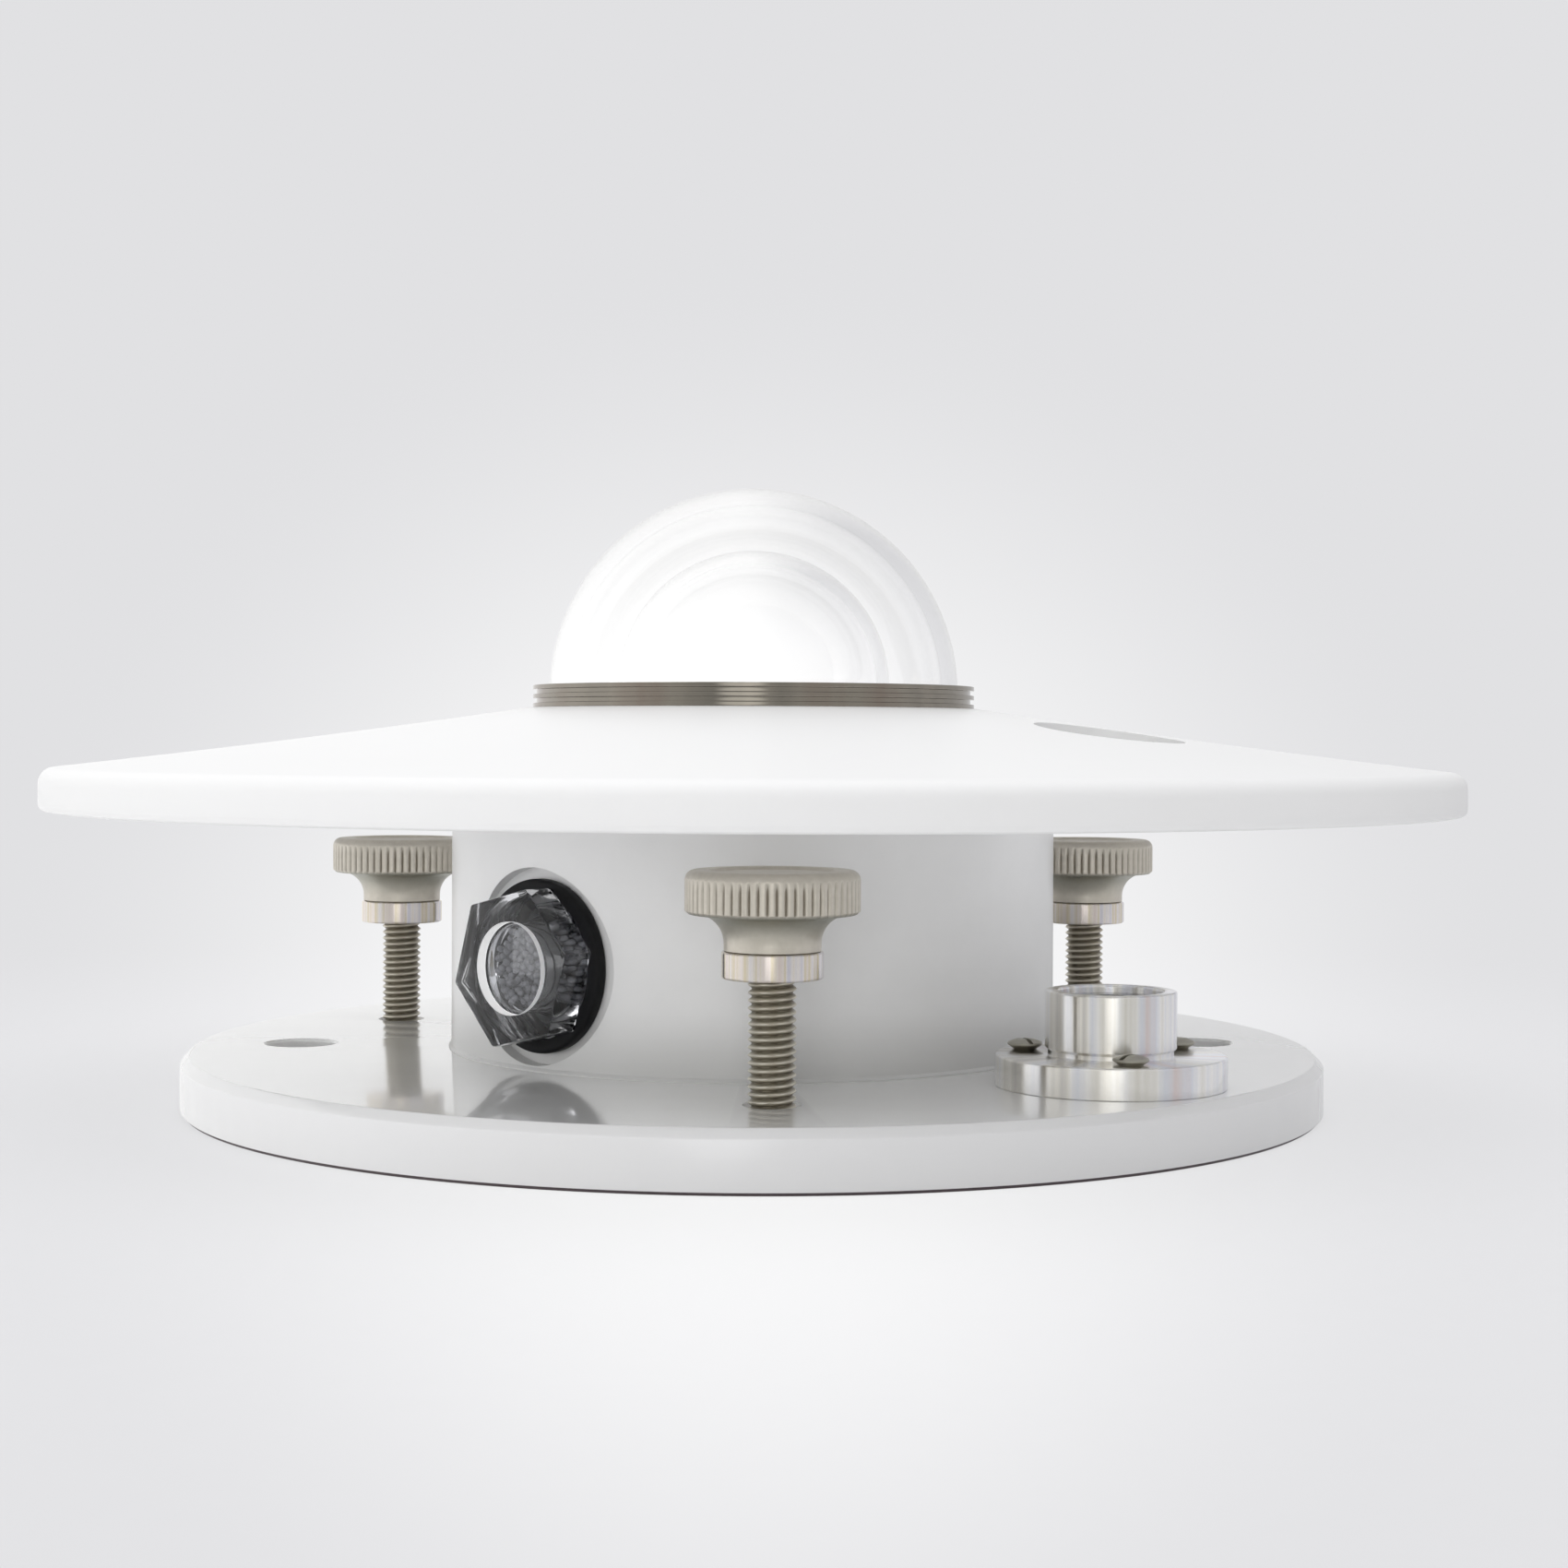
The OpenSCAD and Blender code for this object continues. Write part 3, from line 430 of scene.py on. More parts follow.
# Knurled heads: aluminium, bead blasted and clear anodised. Warm grey and matt, with a grit
# drawn coarser than real, grime and painted shade in the flutes and painted shade in the cove
blastedAluminium = paintFinish(
    "beadBlastedAluminium", ("#ded8cd", "#cec8bc"), (0.8, 0.4, 0.22), 0.3, (0.34, 0.42),
    {"Metallic": 0.9, "Specular IOR Level": 0.5})
darkenGrooves(blastedAluminium, "#7a746b", 0.6)
paintedShadeUnderHead(blastedAluminium, "#8d9085", 0.75, foot=23.0, top=26.3)
# Foot chamfer of the base: dark and rough, a painted contact shadow along the floor
contactShadowFoot = paintFinish(
    "paintedContactShadowFoot", ("#57494d", "#3f3538"), (3.0, 0.5, 0.5), 0.3, (0.5, 0.65),
    {"Metallic": 0.3})
# Washer and seals: nitrile rubber, moulded. Near black, with a dull uneven skin
mouldedRubber = paintFinish(
    "mouldedNitrileRubber", ("#161618", "#0f0f11"), (2.0, 0.3, 0.35), 0.5, (0.42, 0.6),
    {"IOR": 1.5, "Specular IOR Level": 0.2})
# Receiver: absorbing lacquer, sprayed dry in several coats. Black with no sheen at all
receiverLacquer = paintFinish(
    "matBlackAbsorber", ("#0b0b0b", "#131312"), (0.6, 0.3, 0.25), 0.7, (0.88, 0.98),
    {"Specular IOR Level": 0.15})
# Socket insert and level target: filled nylon, moulded. Black with an eggshell sheen
insertPlastic = paintFinish(
    "mouldedBlackNylon", ("#1d1d1f", "#141415"), (3.0, 0.4, 0.4), 0.3, (0.38, 0.5),
    {"IOR": 1.53})
# Drying cap: natural nylon, moulded. Milky, as the light soaks in a little
capNylon = paintFinish(
    "mouldedWhiteNylon", ("#e6e5df", "#d9d8d1"), (3.0, 0.5, 0.5), 0.2, (0.4, 0.52),
    {"IOR": 1.53, "Subsurface Weight": 0.1, "Subsurface Scale": 0.001})
# Terminal board: glass cloth pressed in resin under a printed resist. Green and half glossy
boardLaminate = paintFinish(
    "greenGlassLaminate", ("#1f5c38", "#174a2c"), (0.8, 0.4, 0.4), 0.3, (0.3, 0.45),
    {"Coat Weight": 0.5, "Coat Roughness": 0.2})
# Terminal block: polyamide, moulded. Mid green, half matt
terminalPlastic = paintFinish(
    "mouldedGreenPolyamide", ("#3f8f63", "#337a53"), (2.5, 0.4, 0.5), 0.3, (0.35, 0.5),
    {"IOR": 1.53})
# Trim resistors: ceramic rods dipped in lacquer. Pale blue, glossy, a little uneven
resistorLacquer = paintFinish(
    "blueResistorLacquer", ("#6f9cc4", "#5d88b0"), (1.0, 0.3, 0.4), 0.3, (0.3, 0.42),
    {"Coat Weight": 0.6, "Coat Roughness": 0.15})
# Output leads: PVC, extruded over the wire. Dull red and smooth
leadInsulation = paintFinish(
    "redPvcInsulation", ("#9c2f27", "#85251f"), (1.5, 0.3, 0.3), 0.3, (0.35, 0.5),
    {"IOR": 1.53})
# Silica gel: drops set in oil and dried. Milky grey beads, half clear, with wet highlights
gelBeadFinish = paintFinish(
    "silicaGelBead", ("#cfcfd2", "#9c9da1"), (1.6, 0.4, 0.5), 0.2, (0.12, 0.3),
    {"Transmission Weight": 0.2, "IOR": 1.46})

# Level housing: aluminium turned with a fine feed and left bare. Bright, with upright bands
# of tone painted round the axis as reflections of what stands round
turnedAluminium = turnedFinish(
    "turnedAluminium", [
        (0.30, "#bebbba"), (0.42, "#ebe8e1"), (0.5, "#f7f6f4"), (0.58, "#e6e8f0"),
        (0.72, "#e6dad8")],
    (0.12, 0.08), 2.8, (0.21, 0.25), stretch=0.9)
# Collars: turned in the same way. Bright, with warm and cool bands painted as reflections
collarAluminium = turnedFinish(
    "turnedCollarAluminium", [
        (0.3, "#d5c1ba"), (0.42, "#eae2dd"), (0.48, "#ddd2b8"), (0.54, "#ece7e5"),
        (0.62, "#d2d1df"), (0.7, "#e0cdc8")],
    (0.12, 0.08), 2.6, (0.22, 0.26), stretch=0.9)
# Clamp ring: stainless steel, fine turned. Darker and warmer, with one narrow highlight
ringSteel = turnedFinish(
    "turnedStainlessRing", [(0.3, "#7a766f"), (0.5, "#989288"), (0.7, "#8a7a71")],
    (0.08, 0.1), 2.4, (0.07, 0.11), stretch=0.7)
# Sensor block: steel, faced and turned on the instrument's axis. Soft rings round its middle
axisSteel = turnedFinish(
    "turnedSteelOnAxis", [(0.3, "#a9a8a4"), (0.5, "#cccac6"), (0.7, "#b9b7b2")],
    (0.12, 0.5), 2.0, (0.2, 0.3), onAxis=True)
# Screws: stainless steel, cold headed and tumbled. Plain grey with a soft gloss
screwSteel = turnedFinish(
    "plainScrewSteel", [(0.3, "#96938a"), (0.5, "#b0ada3"), (0.7, "#a19e93")],
    (0.3, 0.2), 3.0, (0.34, 0.45), onAxis=True)
# Socket shell: brass, turned and nickel plated. Warm silver, satin
socketNickel = turnedFinish(
    "satinNickelPlate", [(0.3, "#b7b3aa"), (0.5, "#cfcbc2"), (0.7, "#bfbbb1")],
    (0.15, 0.3), 2.5, (0.22, 0.32))
# Contact pins: brass, turned and gold plated. Smooth yellow
pinGold = turnedFinish(
    "goldPlatedPin", [(0.3, "#d9ac52"), (0.5, "#e8c06a"), (0.7, "#dcb25a")],
    (0.15, 0.2), 2.0, (0.16, 0.24))
# Standoffs: brass bar, turned and left bare. Deep yellow with plain tool rings
turnedBrass = turnedFinish(
    "turnedBrass", [(0.3, "#b08d48"), (0.5, "#cba85c"), (0.7, "#bb9a50")],
    (0.15, 0.4), 2.0, (0.22, 0.32), onAxis=True)
# Thermopile and its leads: copper wire, drawn, wound and part plated. Reddish, finely lined
woundCopper = turnedFinish(
    "platedCopperWire", [(0.3, "#a5643c"), (0.5, "#c98452"), (0.7, "#b57446")],
    (0.2, 0.4), 4.0, (0.25, 0.35), onAxis=True)

# Domes: optical glass, ground and polished. Clear, with a breath of cleaning marks
domeGlass = clearFinish(
    "polishedDomeGlass", ("#ffffff", "#fefefe"), 12, (0.0, 0.01),
    {"Transmission Weight": 1.0, "IOR": 1.45, "Emission Color": (1, 1, 1, 1)})
# painted glow: the glass gives off faint white light, most near the foot, for scattered light
paintedGlow = {"foot": 50 * mm, "top": 74 * mm, "glow": 0.034}
domeTree = domeGlass.node_tree
glowPoint = addNode(domeTree, "TexCoord").outputs["Object"]
domeGlowStrength = addNode(domeTree, "MapRange", {
    "Value": addNode(domeTree, "SeparateXYZ", [glowPoint]).outputs["Z"],
    "From Min": paintedGlow["foot"], "From Max": paintedGlow["top"], "To Min": paintedGlow["glow"], "To Max": 0.0},
    interpolation_type="SMOOTHSTEP")
feed(domeTree, domeTree.nodes["Principled BSDF"], {"Emission Strength": domeGlowStrength})
# Level vial: glass tube, cut and fire polished. Clear, with a faint green cast
vialGlass = clearFinish("levelVialGlass", ("#fafdfb", "#f2f8f4"), 4, (0.0, 0.03),
                        {"Transmission Weight": 1.0, "IOR": 1.5})
# Level liquid: dyed spirit, still and clear. Yellow green
levelSpirit = clearFinish("levelSpirit", ("#d4e39a", "#c6d98a"), 6, (0.0, 0.02),
                          {"Transmission Weight": 0.9, "IOR": 1.36})
# Drying plug: cast acrylic, machined and flame polished. Clear, a little smoky where thick
clearAcrylic = clearFinish("polishedAcrylic", ("#e6e7ea", "#dadbdf"), 2.5, (0.0, 0.03),
                           {"Transmission Weight": 1.0, "IOR": 1.49})
# Recess wall of the plug: left as the cutter made it, frosted white, and given a painted
# glow so that it stands out as a white rim
glowingCutAcrylic = clearFinish("asCutAcrylicPaintedGlow", ("#ffffff", "#f4f4f4"), 0.4, (0.35, 0.6),
                         {"IOR": 1.49, "Emission Color": (1, 1, 1, 1),
                          "Emission Strength": 0.35})

# Studs: steel with a cut thread, oiled. Light crests, and roots darkened by oil, dust and
# painted shade
threadSteel, threadTree, threadShader = newFinish(
    "oiledSteelThread", {"Metallic": 0.9, "Base Color": linear("#e4dfd2")})
threadGrime = addNode(threadTree, "TexNoise", {
    "Vector": addNode(threadTree, "TexCoord").outputs["Object"], "Scale": perMetre(0.9),
    "Detail": 4.0})
threadGloss = addNode(threadTree, "MapRange", {
    "Value": threadGrime, "From Min": noiseLow, "From Max": noiseHigh, "To Min": 0.3,
    "To Max": 0.5})
feed(threadTree, threadShader, {"Roughness": threadGloss})
darkenGrooves(threadSteel, "#847e70", 1 / 0.9)
print("finishes made")


# Sun shade: a profile turned by a tree, with the sight hole cut through it

def shadeTree():
    tree, given = startTree("saucerShade", {
        "Segments": ("NodeSocketInt", 320), "Profile Points": ("NodeSocketInt", 10),
        "Hole Radius": ("NodeSocketFloat", 0.01), "Hole Place": ("NodeSocketVector", None)})
    profile, segments = given["Geometry"], given["Segments"]
    rows = given["Profile Points"]
    columns = addNode(tree, "Math", [segments, 1.0], operation="ADD")
    sheet = addNode(tree, "GeometryNodeMeshGrid", {"Vertices X": columns, "Vertices Y": rows})
    index = addNode(tree, "GeometryNodeInputIndex")
    ratio = addNode(tree, "Math", [index, rows], operation="DIVIDE")
    column = addNode(tree, "Math", [ratio], operation="FLOOR")
    row = addNode(tree, "Math", [index, rows], operation="MODULO")
    place = addNode(tree, "GeometryNodeInputPosition")
    found = addNode(tree, "GeometryNodeSampleIndex", {
        "Geometry": profile, "Value": place, "Index": row},
        data_type="FLOAT_VECTOR", domain="POINT")
    x, y, z = addNode(tree, "SeparateXYZ", [found]).outputs
    turn = addNode(tree, "Math", [column, segments], operation="DIVIDE")
    angle = addNode(tree, "Math", [turn, 2 * math.pi], operation="MULTIPLY")
    cosine = addNode(tree, "Math", [angle], operation="COSINE")
    sine = addNode(tree, "Math", [angle], operation="SINE")
    across = addNode(tree, "Math", [cosine, x], operation="MULTIPLY")
    along = addNode(tree, "Math", [sine, x], operation="MULTIPLY")
    turned = addNode(tree, "CombineXYZ", {"X": across, "Y": along, "Z": z})
    bent = addNode(tree, "GeometryNodeSetPosition", {"Geometry": sheet, "Position": turned})
    closed = addNode(tree, "GeometryNodeMergeByDistance", {
        "Geometry": bent, "Distance": 0.000001})
    drill = addNode(tree, "GeometryNodeMeshCylinder", {
        "Vertices": 96, "Radius": given["Hole Radius"], "Depth": 0.03})
    moved = addNode(tree, "GeometryNodeTransform", {
        "Geometry": drill, "Translation": given["Hole Place"]})
    cut = addNode(tree, "GeometryNodeMeshBoolean", {
        "Mesh 1": closed, "Mesh 2": moved}, operation="DIFFERENCE", solver="EXACT")
    return endTree(tree, given, cut)


def buildShade():
    size = {"radius": 84.5, "rimZ": 35.3, "edgeZ": 40.25, "edgeRadius": 1.8, "edgeTurn": 85,
            "rimInner": 81.5, "rimRound": 0.6, "wall": 2.5, "hubInner": 26.2,
            "hubTop": 27.4, "hubOuter": 35.4, "deckZ": 43.0, "ringZ": 47.5, "slope": 0.85,
            "holeRadius": 8.5, "holeReach": 47.3, "holeAngle": -34.0, "steps": 28,
            "segments": 320}
    edgeInner = size["radius"] - size["edgeRadius"] * (
        1 - math.cos(math.radians(size["edgeTurn"])))

    def top(radius):
        t = (edgeInner - radius) / (edgeInner - size["hubTop"])
        return size["edgeZ"] + (size["ringZ"] - size["edgeZ"]) * (
            size["slope"] * t + (1 - size["slope"]) * t * t)

    under = [size["hubOuter"] + (size["rimInner"] - size["hubOuter"]) * i / size["steps"]
             for i in range(size["steps"] + 1)]
    over = [edgeInner + (size["hubTop"] - edgeInner) * i / size["steps"]
            for i in range(1, size["steps"] + 1)]
    profile = [(size["hubInner"], size["deckZ"]), (size["hubOuter"], size["deckZ"])]
    profile += [(r, top(r) - size["wall"]) for r in under]
    profile += rounded([
        (size["rimInner"], size["rimZ"] + 1), (size["rimInner"], size["rimZ"], 0.5),
        (size["radius"], size["rimZ"], size["rimRound"] * 1.5),
        (size["radius"], size["rimZ"] + 2)], closed=False)[1:-1]
    profile += arc(size["radius"] - size["edgeRadius"], size["edgeZ"] - size["edgeRadius"]
                   * math.sin(math.radians(size["edgeTurn"])), size["edgeRadius"], 0,
                   size["edgeTurn"], 10)
    profile += [(r, top(r)) for r in over] + [(size["hubInner"], size["ringZ"])]
    profile.append(profile[0])
    mesh = bpy.data.meshes.new("sunShade")
    mesh.from_pydata([(r * mm, 0, z * mm) for r, z in profile],
                     [(i, i + 1) for i in range(len(profile) - 1)], [])
    piece = meshPiece("sunShade", mesh)
    holeAngle, reach = math.radians(size["holeAngle"]), size["holeReach"] * mm
    grow(piece, shadeTree(), {
        "Segments": size["segments"], "Profile Points": len(profile),
        "Hole Radius": size["holeRadius"] * mm,
        "Hole Place": (reach * math.cos(holeAngle), reach * math.sin(holeAngle),
                       size["deckZ"] * mm)}, shadePlastic)
    plain(piece)
    shape = bmesh.new()
    shape.from_mesh(piece.data)
    bmesh.ops.recalc_face_normals(shape, faces=shape.faces)
    shape.to_mesh(piece.data)
    shape.free()
    return finishPiece(piece, "instrument", ["sun_shade"], angle=28)


shade = buildShade()
print("sun shade turned:", len(shade.data.polygons), "faces")


# Base plate and housing

def buildBase():
    size = {"radius": 68.5, "height": 6.5, "chamfer": 1.0, "footChamfer": 0.4,
            "mountReach": 55.0, "mountHole": 4.25, "studHole": 2.55, "studMouth": 3.05,
            "screwReach": 52.5, "footScrewReach": 28.5, "footScrew": 2.05,
            "footHead": 4.05, "footHeadDepth": 2.2}
    h, r = size["height"], size["radius"]
    profile = rounded([
        (0, 0), (r - size["footChamfer"], 0, 0.15), (r, size["footChamfer"], 0.15),
        (r, h - size["chamfer"], 0.35), (r - size["chamfer"], h, 0.35), (0, h)], closed=False,
        steps=5)
    piece = meshPiece("basePlate", turnedMesh("basePlate", profile, 256, False), glossEnamel)
    edge, over = 0.3, 1.0
    mount = rounded([
        (0, -over), (size["mountHole"] + edge + over, -over), (size["mountHole"] + edge, 0),
        (size["mountHole"], edge, edge), (size["mountHole"], h - edge, edge),
        (size["mountHole"] + edge, h), (size["mountHole"] + edge + over, h + over),
        (0, h + over)], closed=False)
    stud = [
        (0, -over), (size["studHole"], -over), (size["studHole"], h - 0.5),
        (size["studMouth"] + over, h + over), (0, h + over)]
    foot = [
        (0, -over), (size["footHead"], -over), (size["footHead"], 0),
        (size["footScrew"], size["footHeadDepth"]), (size["footScrew"], h + over),
        (0, h + over)]
    reach = size["mountReach"]
    cutters = [turnedCutter(mount, placeAt(x), 72) for x in (-reach, reach)]
    for angle in (-90, 150, 30):
        turn = turnBy(angle)
        cutters.append(turnedCutter(stud, turn @ placeAt(size["screwReach"]), 48))
        cutters.append(turnedCutter(foot, turn @ placeAt(size["footScrewReach"]), 48))
    cutAway(piece, cutters)
    # the foot chamfer takes a dark finish below the enamel, a painted contact shadow
    piece.data.materials.append(contactShadowFoot)
    for face in piece.data.polygons:
        if face.center.z < size["footChamfer"] * 0.95 * mm:
            face.material_index = 1
    return finishPiece(piece, "instrument", ["base_plate"], angle=25)


def buildHousing():
    size = {"radius": 36.65, "wall": 5.0, "footZ": 6.5, "deckZ": 43.0, "deckWall": 3.5,
            "footWidth": 0.3, "footHeight": 0.45, "edge": 0.6, "neck": 24.6,
            "neckBore": 22.6, "neckZ": 46.9, "deckBore": 18.0, "bossFoot": 27,
            "bossEnd": 35, "boreFoot": 20, "outside": 39,
            "plug": {"angle": -134.3, "z": 18.2, "boss": 10.2, "bore": 8.05,
                     "seat": 34.68, "mouth": 11.1},
            "socket": {"angle": 90, "z": 19.0, "boss": 10, "bore": 7.7,
                       "seat": 34.345, "mouth": 12.1}}
    r, inner = size["radius"], size["radius"] - size["wall"]
    profile = rounded([
        (inner, size["footZ"]), (r + size["footWidth"], size["footZ"]),
        (r + size["footWidth"], size["footZ"] + 0.15, 0.1),
        (r, size["footZ"] + size["footHeight"], 0.1),
        (r, size["deckZ"] - size["edge"], 0.3), (r - size["edge"], size["deckZ"], 0.3),
        (size["neck"], size["deckZ"]), (size["neck"], size["neckZ"]),
        (size["neckBore"], size["neckZ"]), (size["neckBore"], size["deckZ"]),
        (size["deckBore"], size["deckZ"]), (size["deckBore"], size["deckZ"]
                                            - size["deckWall"]),
        (inner, size["deckZ"] - size["deckWall"])])
    piece = meshPiece("housingBody", turnedMesh("housingBody", profile, 256), housingEnamel)
    bosses, seats = [], []
    for hole in (size["plug"], size["socket"]):
        place = radialPlace(hole["angle"], hole["z"])
        bosses.append(turnedCutter(
            stepped(size["bossFoot"], (hole["boss"], size["bossEnd"])), place))
        seats.append(turnedCutter(
            stepped(size["boreFoot"], (hole["bore"], hole["seat"]),
                    (hole["mouth"], size["outside"])), place, 128))
    cutAway(piece, bosses, "UNION")
    cutAway(piece, seats)
    return finishPiece(piece, "instrument", ["housing"], angle=30)


basePlate = buildBase()
housingBody = buildHousing()
print("base plate and housing cut:", len(basePlate.data.polygons),
      len(housingBody.data.polygons), "faces")


# Clamp ring and the two domes

def buildRing():
    size = {"radius": 27.0, "foot": 47.5, "height": 2.7, "groove": 0.55, "depth": 0.45,
            "skirtFoot": 44.3, "skirtInner": 24.65, "skirtOuter": 25.9, "bore": 25.05,
            "ledge": 47.6, "soft": 0.08}
    land = (size["height"] - 2 * size["groove"]) / 3
    r, soft = size["radius"], size["soft"]
    points = [
        (size["skirtInner"], size["skirtFoot"]), (size["skirtOuter"], size["skirtFoot"]),
        (size["skirtOuter"], size["foot"]), (r, size["foot"], soft)]
    for i in range(2):
        z = size["foot"] + land + i * (land + size["groove"])
        points += [
            (r, z, soft), (r - size["depth"], z, soft),
            (r - size["depth"], z + size["groove"], soft), (r, z + size["groove"], soft)]
    top = size["foot"] + size["height"]
    points += [
        (r, top, soft), (size["bore"], top, soft), (size["bore"], size["ledge"]),
        (size["skirtInner"], size["ledge"])]
    turnedPiece("clampRing", rounded(points), ringSteel, "instrument",
                ["dome_ring"], segments=256)


def domeProfile(size):
    r, t, z = size["radius"], size["wall"], size["centreZ"]
    steps = size["steps"]
    outer = rounded([
        (r - t, size["footZ"]), (r, size["footZ"], 0.15), (r, z)], closed=False)[1:-1]
    outer += [(max(p[0], 0), p[1]) for p in arc(0, z, r, 0, 90, steps)]
    outer[-1] = (0, z + r)
    inner = [(max(p[0], 0), p[1]) for p in arc(0, z, r - t, 90, 0, steps)]
    inner[0] = (0, z + r - t)
    inner += rounded([
        (r - t, z), (r - t, size["footZ"], 0.15), (r, size["footZ"])], closed=False)[1:-1]
    return inner + outer


def buildDome(name, size, replaced):
    # both skins meet at the foot, so the profile runs from pole to pole
    turnedPiece(name, domeProfile(size), domeGlass, "instrument",
                [replaced], segments=160, closed=False, angle=40)


buildRing()
buildDome("outerDome", {"radius": 25.0, "wall": 2.0, "centreZ": 49.4, "footZ": 47.7,
                        "steps": 64}, "outer_dome")
buildDome("innerDome", {"radius": 16.65, "wall": 1.5, "centreZ": 50.2, "footZ": 49.3,
                        "steps": 56}, "inner_dome")
print("clamp ring and domes made")


# Levelling screws: knurled head, bright collar, threaded stud

def grooveTree(name, first, inside, pattern):
    # cuts grooves in a turned wall between Foot and Top, which run out at both ends; pattern
    # says how deep a place lies, and only places outside a share of Radius move
    lengths = ("Depth", "Radius", "Foot", "Top", "Run Out")
    tree, given = startTree(name, {**first, **{
        label: ("NodeSocketFloat", 0.001) for label in lengths}})
    place = addNode(tree, "GeometryNodeInputPosition")
    x, y, z = addNode(tree, "SeparateXYZ", [place]).outputs
    angle = addNode(tree, "Math", [y, x], operation="ARCTAN2")
    footEnd = addNode(tree, "Math", [given["Foot"], given["Run Out"]], operation="ADD")
    rise = addNode(tree, "MapRange", {
        "Value": z, "From Min": given["Foot"], "From Max": footEnd})
    topStart = addNode(tree, "Math", [given["Top"], given["Run Out"]], operation="SUBTRACT")
    fall = addNode(tree, "MapRange", {
        "Value": z, "From Min": topStart, "From Max": given["Top"], "To Min": 1.0,
        "To Max": 0.0})
    flat = addNode(tree, "CombineXYZ", {"X": x, "Y": y})
    reach = addNode(tree, "VectorMath", [flat], operation="LENGTH")
    least = addNode(tree, "Math", [given["Radius"], inside], operation="MULTIPLY")
    outer = addNode(tree, "Math", [reach, least], operation="GREATER_THAN")
    groove = rise
    for factor in (fall, outer, pattern(tree, given, angle, z)):
        groove = addNode(tree, "Math", [groove, factor], operation="MULTIPLY")
    depth = addNode(tree, "Math", [groove, given["Depth"]], operation="MULTIPLY")
    back = addNode(tree, "Math", [depth, -1.0], operation="MULTIPLY")
    outward = addNode(tree, "VectorMath", [flat], operation="NORMALIZE")
    shift = addNode(tree, "VectorMath", {0: outward, "Scale": back}, operation="SCALE")
    kept = addNode(tree, "GeometryNodeStoreNamedAttribute", {
        "Geometry": given["Geometry"], "Name": "groove", "Value": groove},
        data_type="FLOAT", domain="POINT")
    cut = addNode(tree, "GeometryNodeSetPosition", {"Geometry": kept, "Offset": shift})
    return endTree(tree, given, cut)


# flanks of flutes and threads as shares of a wave; ends are flat in root and crest
grooves = {"fluteLand": 0.75, "threadRoot": 0.06, "threadCrest": 0.44, "knurlInside": 0.9,
           "threadInside": 0.97}


def flutePattern(tree, given, angle, z):
    # straight flutes, deepest where the sine crosses nought, with flat lands between them
    half = addNode(tree, "Math", [given["Flutes"], 0.5], operation="MULTIPLY")
    phase = addNode(tree, "Math", [angle, half], operation="MULTIPLY")
    wave = addNode(tree, "Math", [phase], operation="SINE")
    height = addNode(tree, "Math", [wave], operation="ABSOLUTE")
    return addNode(tree, "MapRange", {
        "Value": height, "From Max": grooves["fluteLand"], "To Min": 1.0, "To Max": 0.0})


def threadPattern(tree, given, angle, z):
    # a helix: how far a place is along its pitch, with a narrow flat at crest and root
    turns = addNode(tree, "Math", [angle, 2 * math.pi], operation="DIVIDE")
    pitches = addNode(tree, "Math", [z, given["Pitch"]], operation="DIVIDE")
    phase = addNode(tree, "Math", [pitches, turns], operation="SUBTRACT")
    flank = addNode(tree, "Math", [phase, 0.5], operation="PINGPONG")
    return addNode(tree, "MapRange", {
        "Value": flank, "From Min": grooves["threadRoot"], "From Max": grooves["threadCrest"]})


straightKnurl = grooveTree("straightKnurl", {"Flutes": ("NodeSocketInt", 60)},
                           grooves["knurlInside"], flutePattern)
screwThread = grooveTree("screwThread", {"Pitch": ("NodeSocketFloat", 0.0008)},
                         grooves["threadInside"], threadPattern)


def cutThread(piece, pitch, depth, radius, foot, top, material):
    # a thread that runs out over one pitch at both ends; lengths in mm
    grow(piece, screwThread, {
        "Pitch": pitch * mm, "Depth": depth * mm, "Radius": radius * mm, "Foot": foot * mm,
        "Top": top * mm, "Run Out": pitch * mm}, material)
    plain(piece)


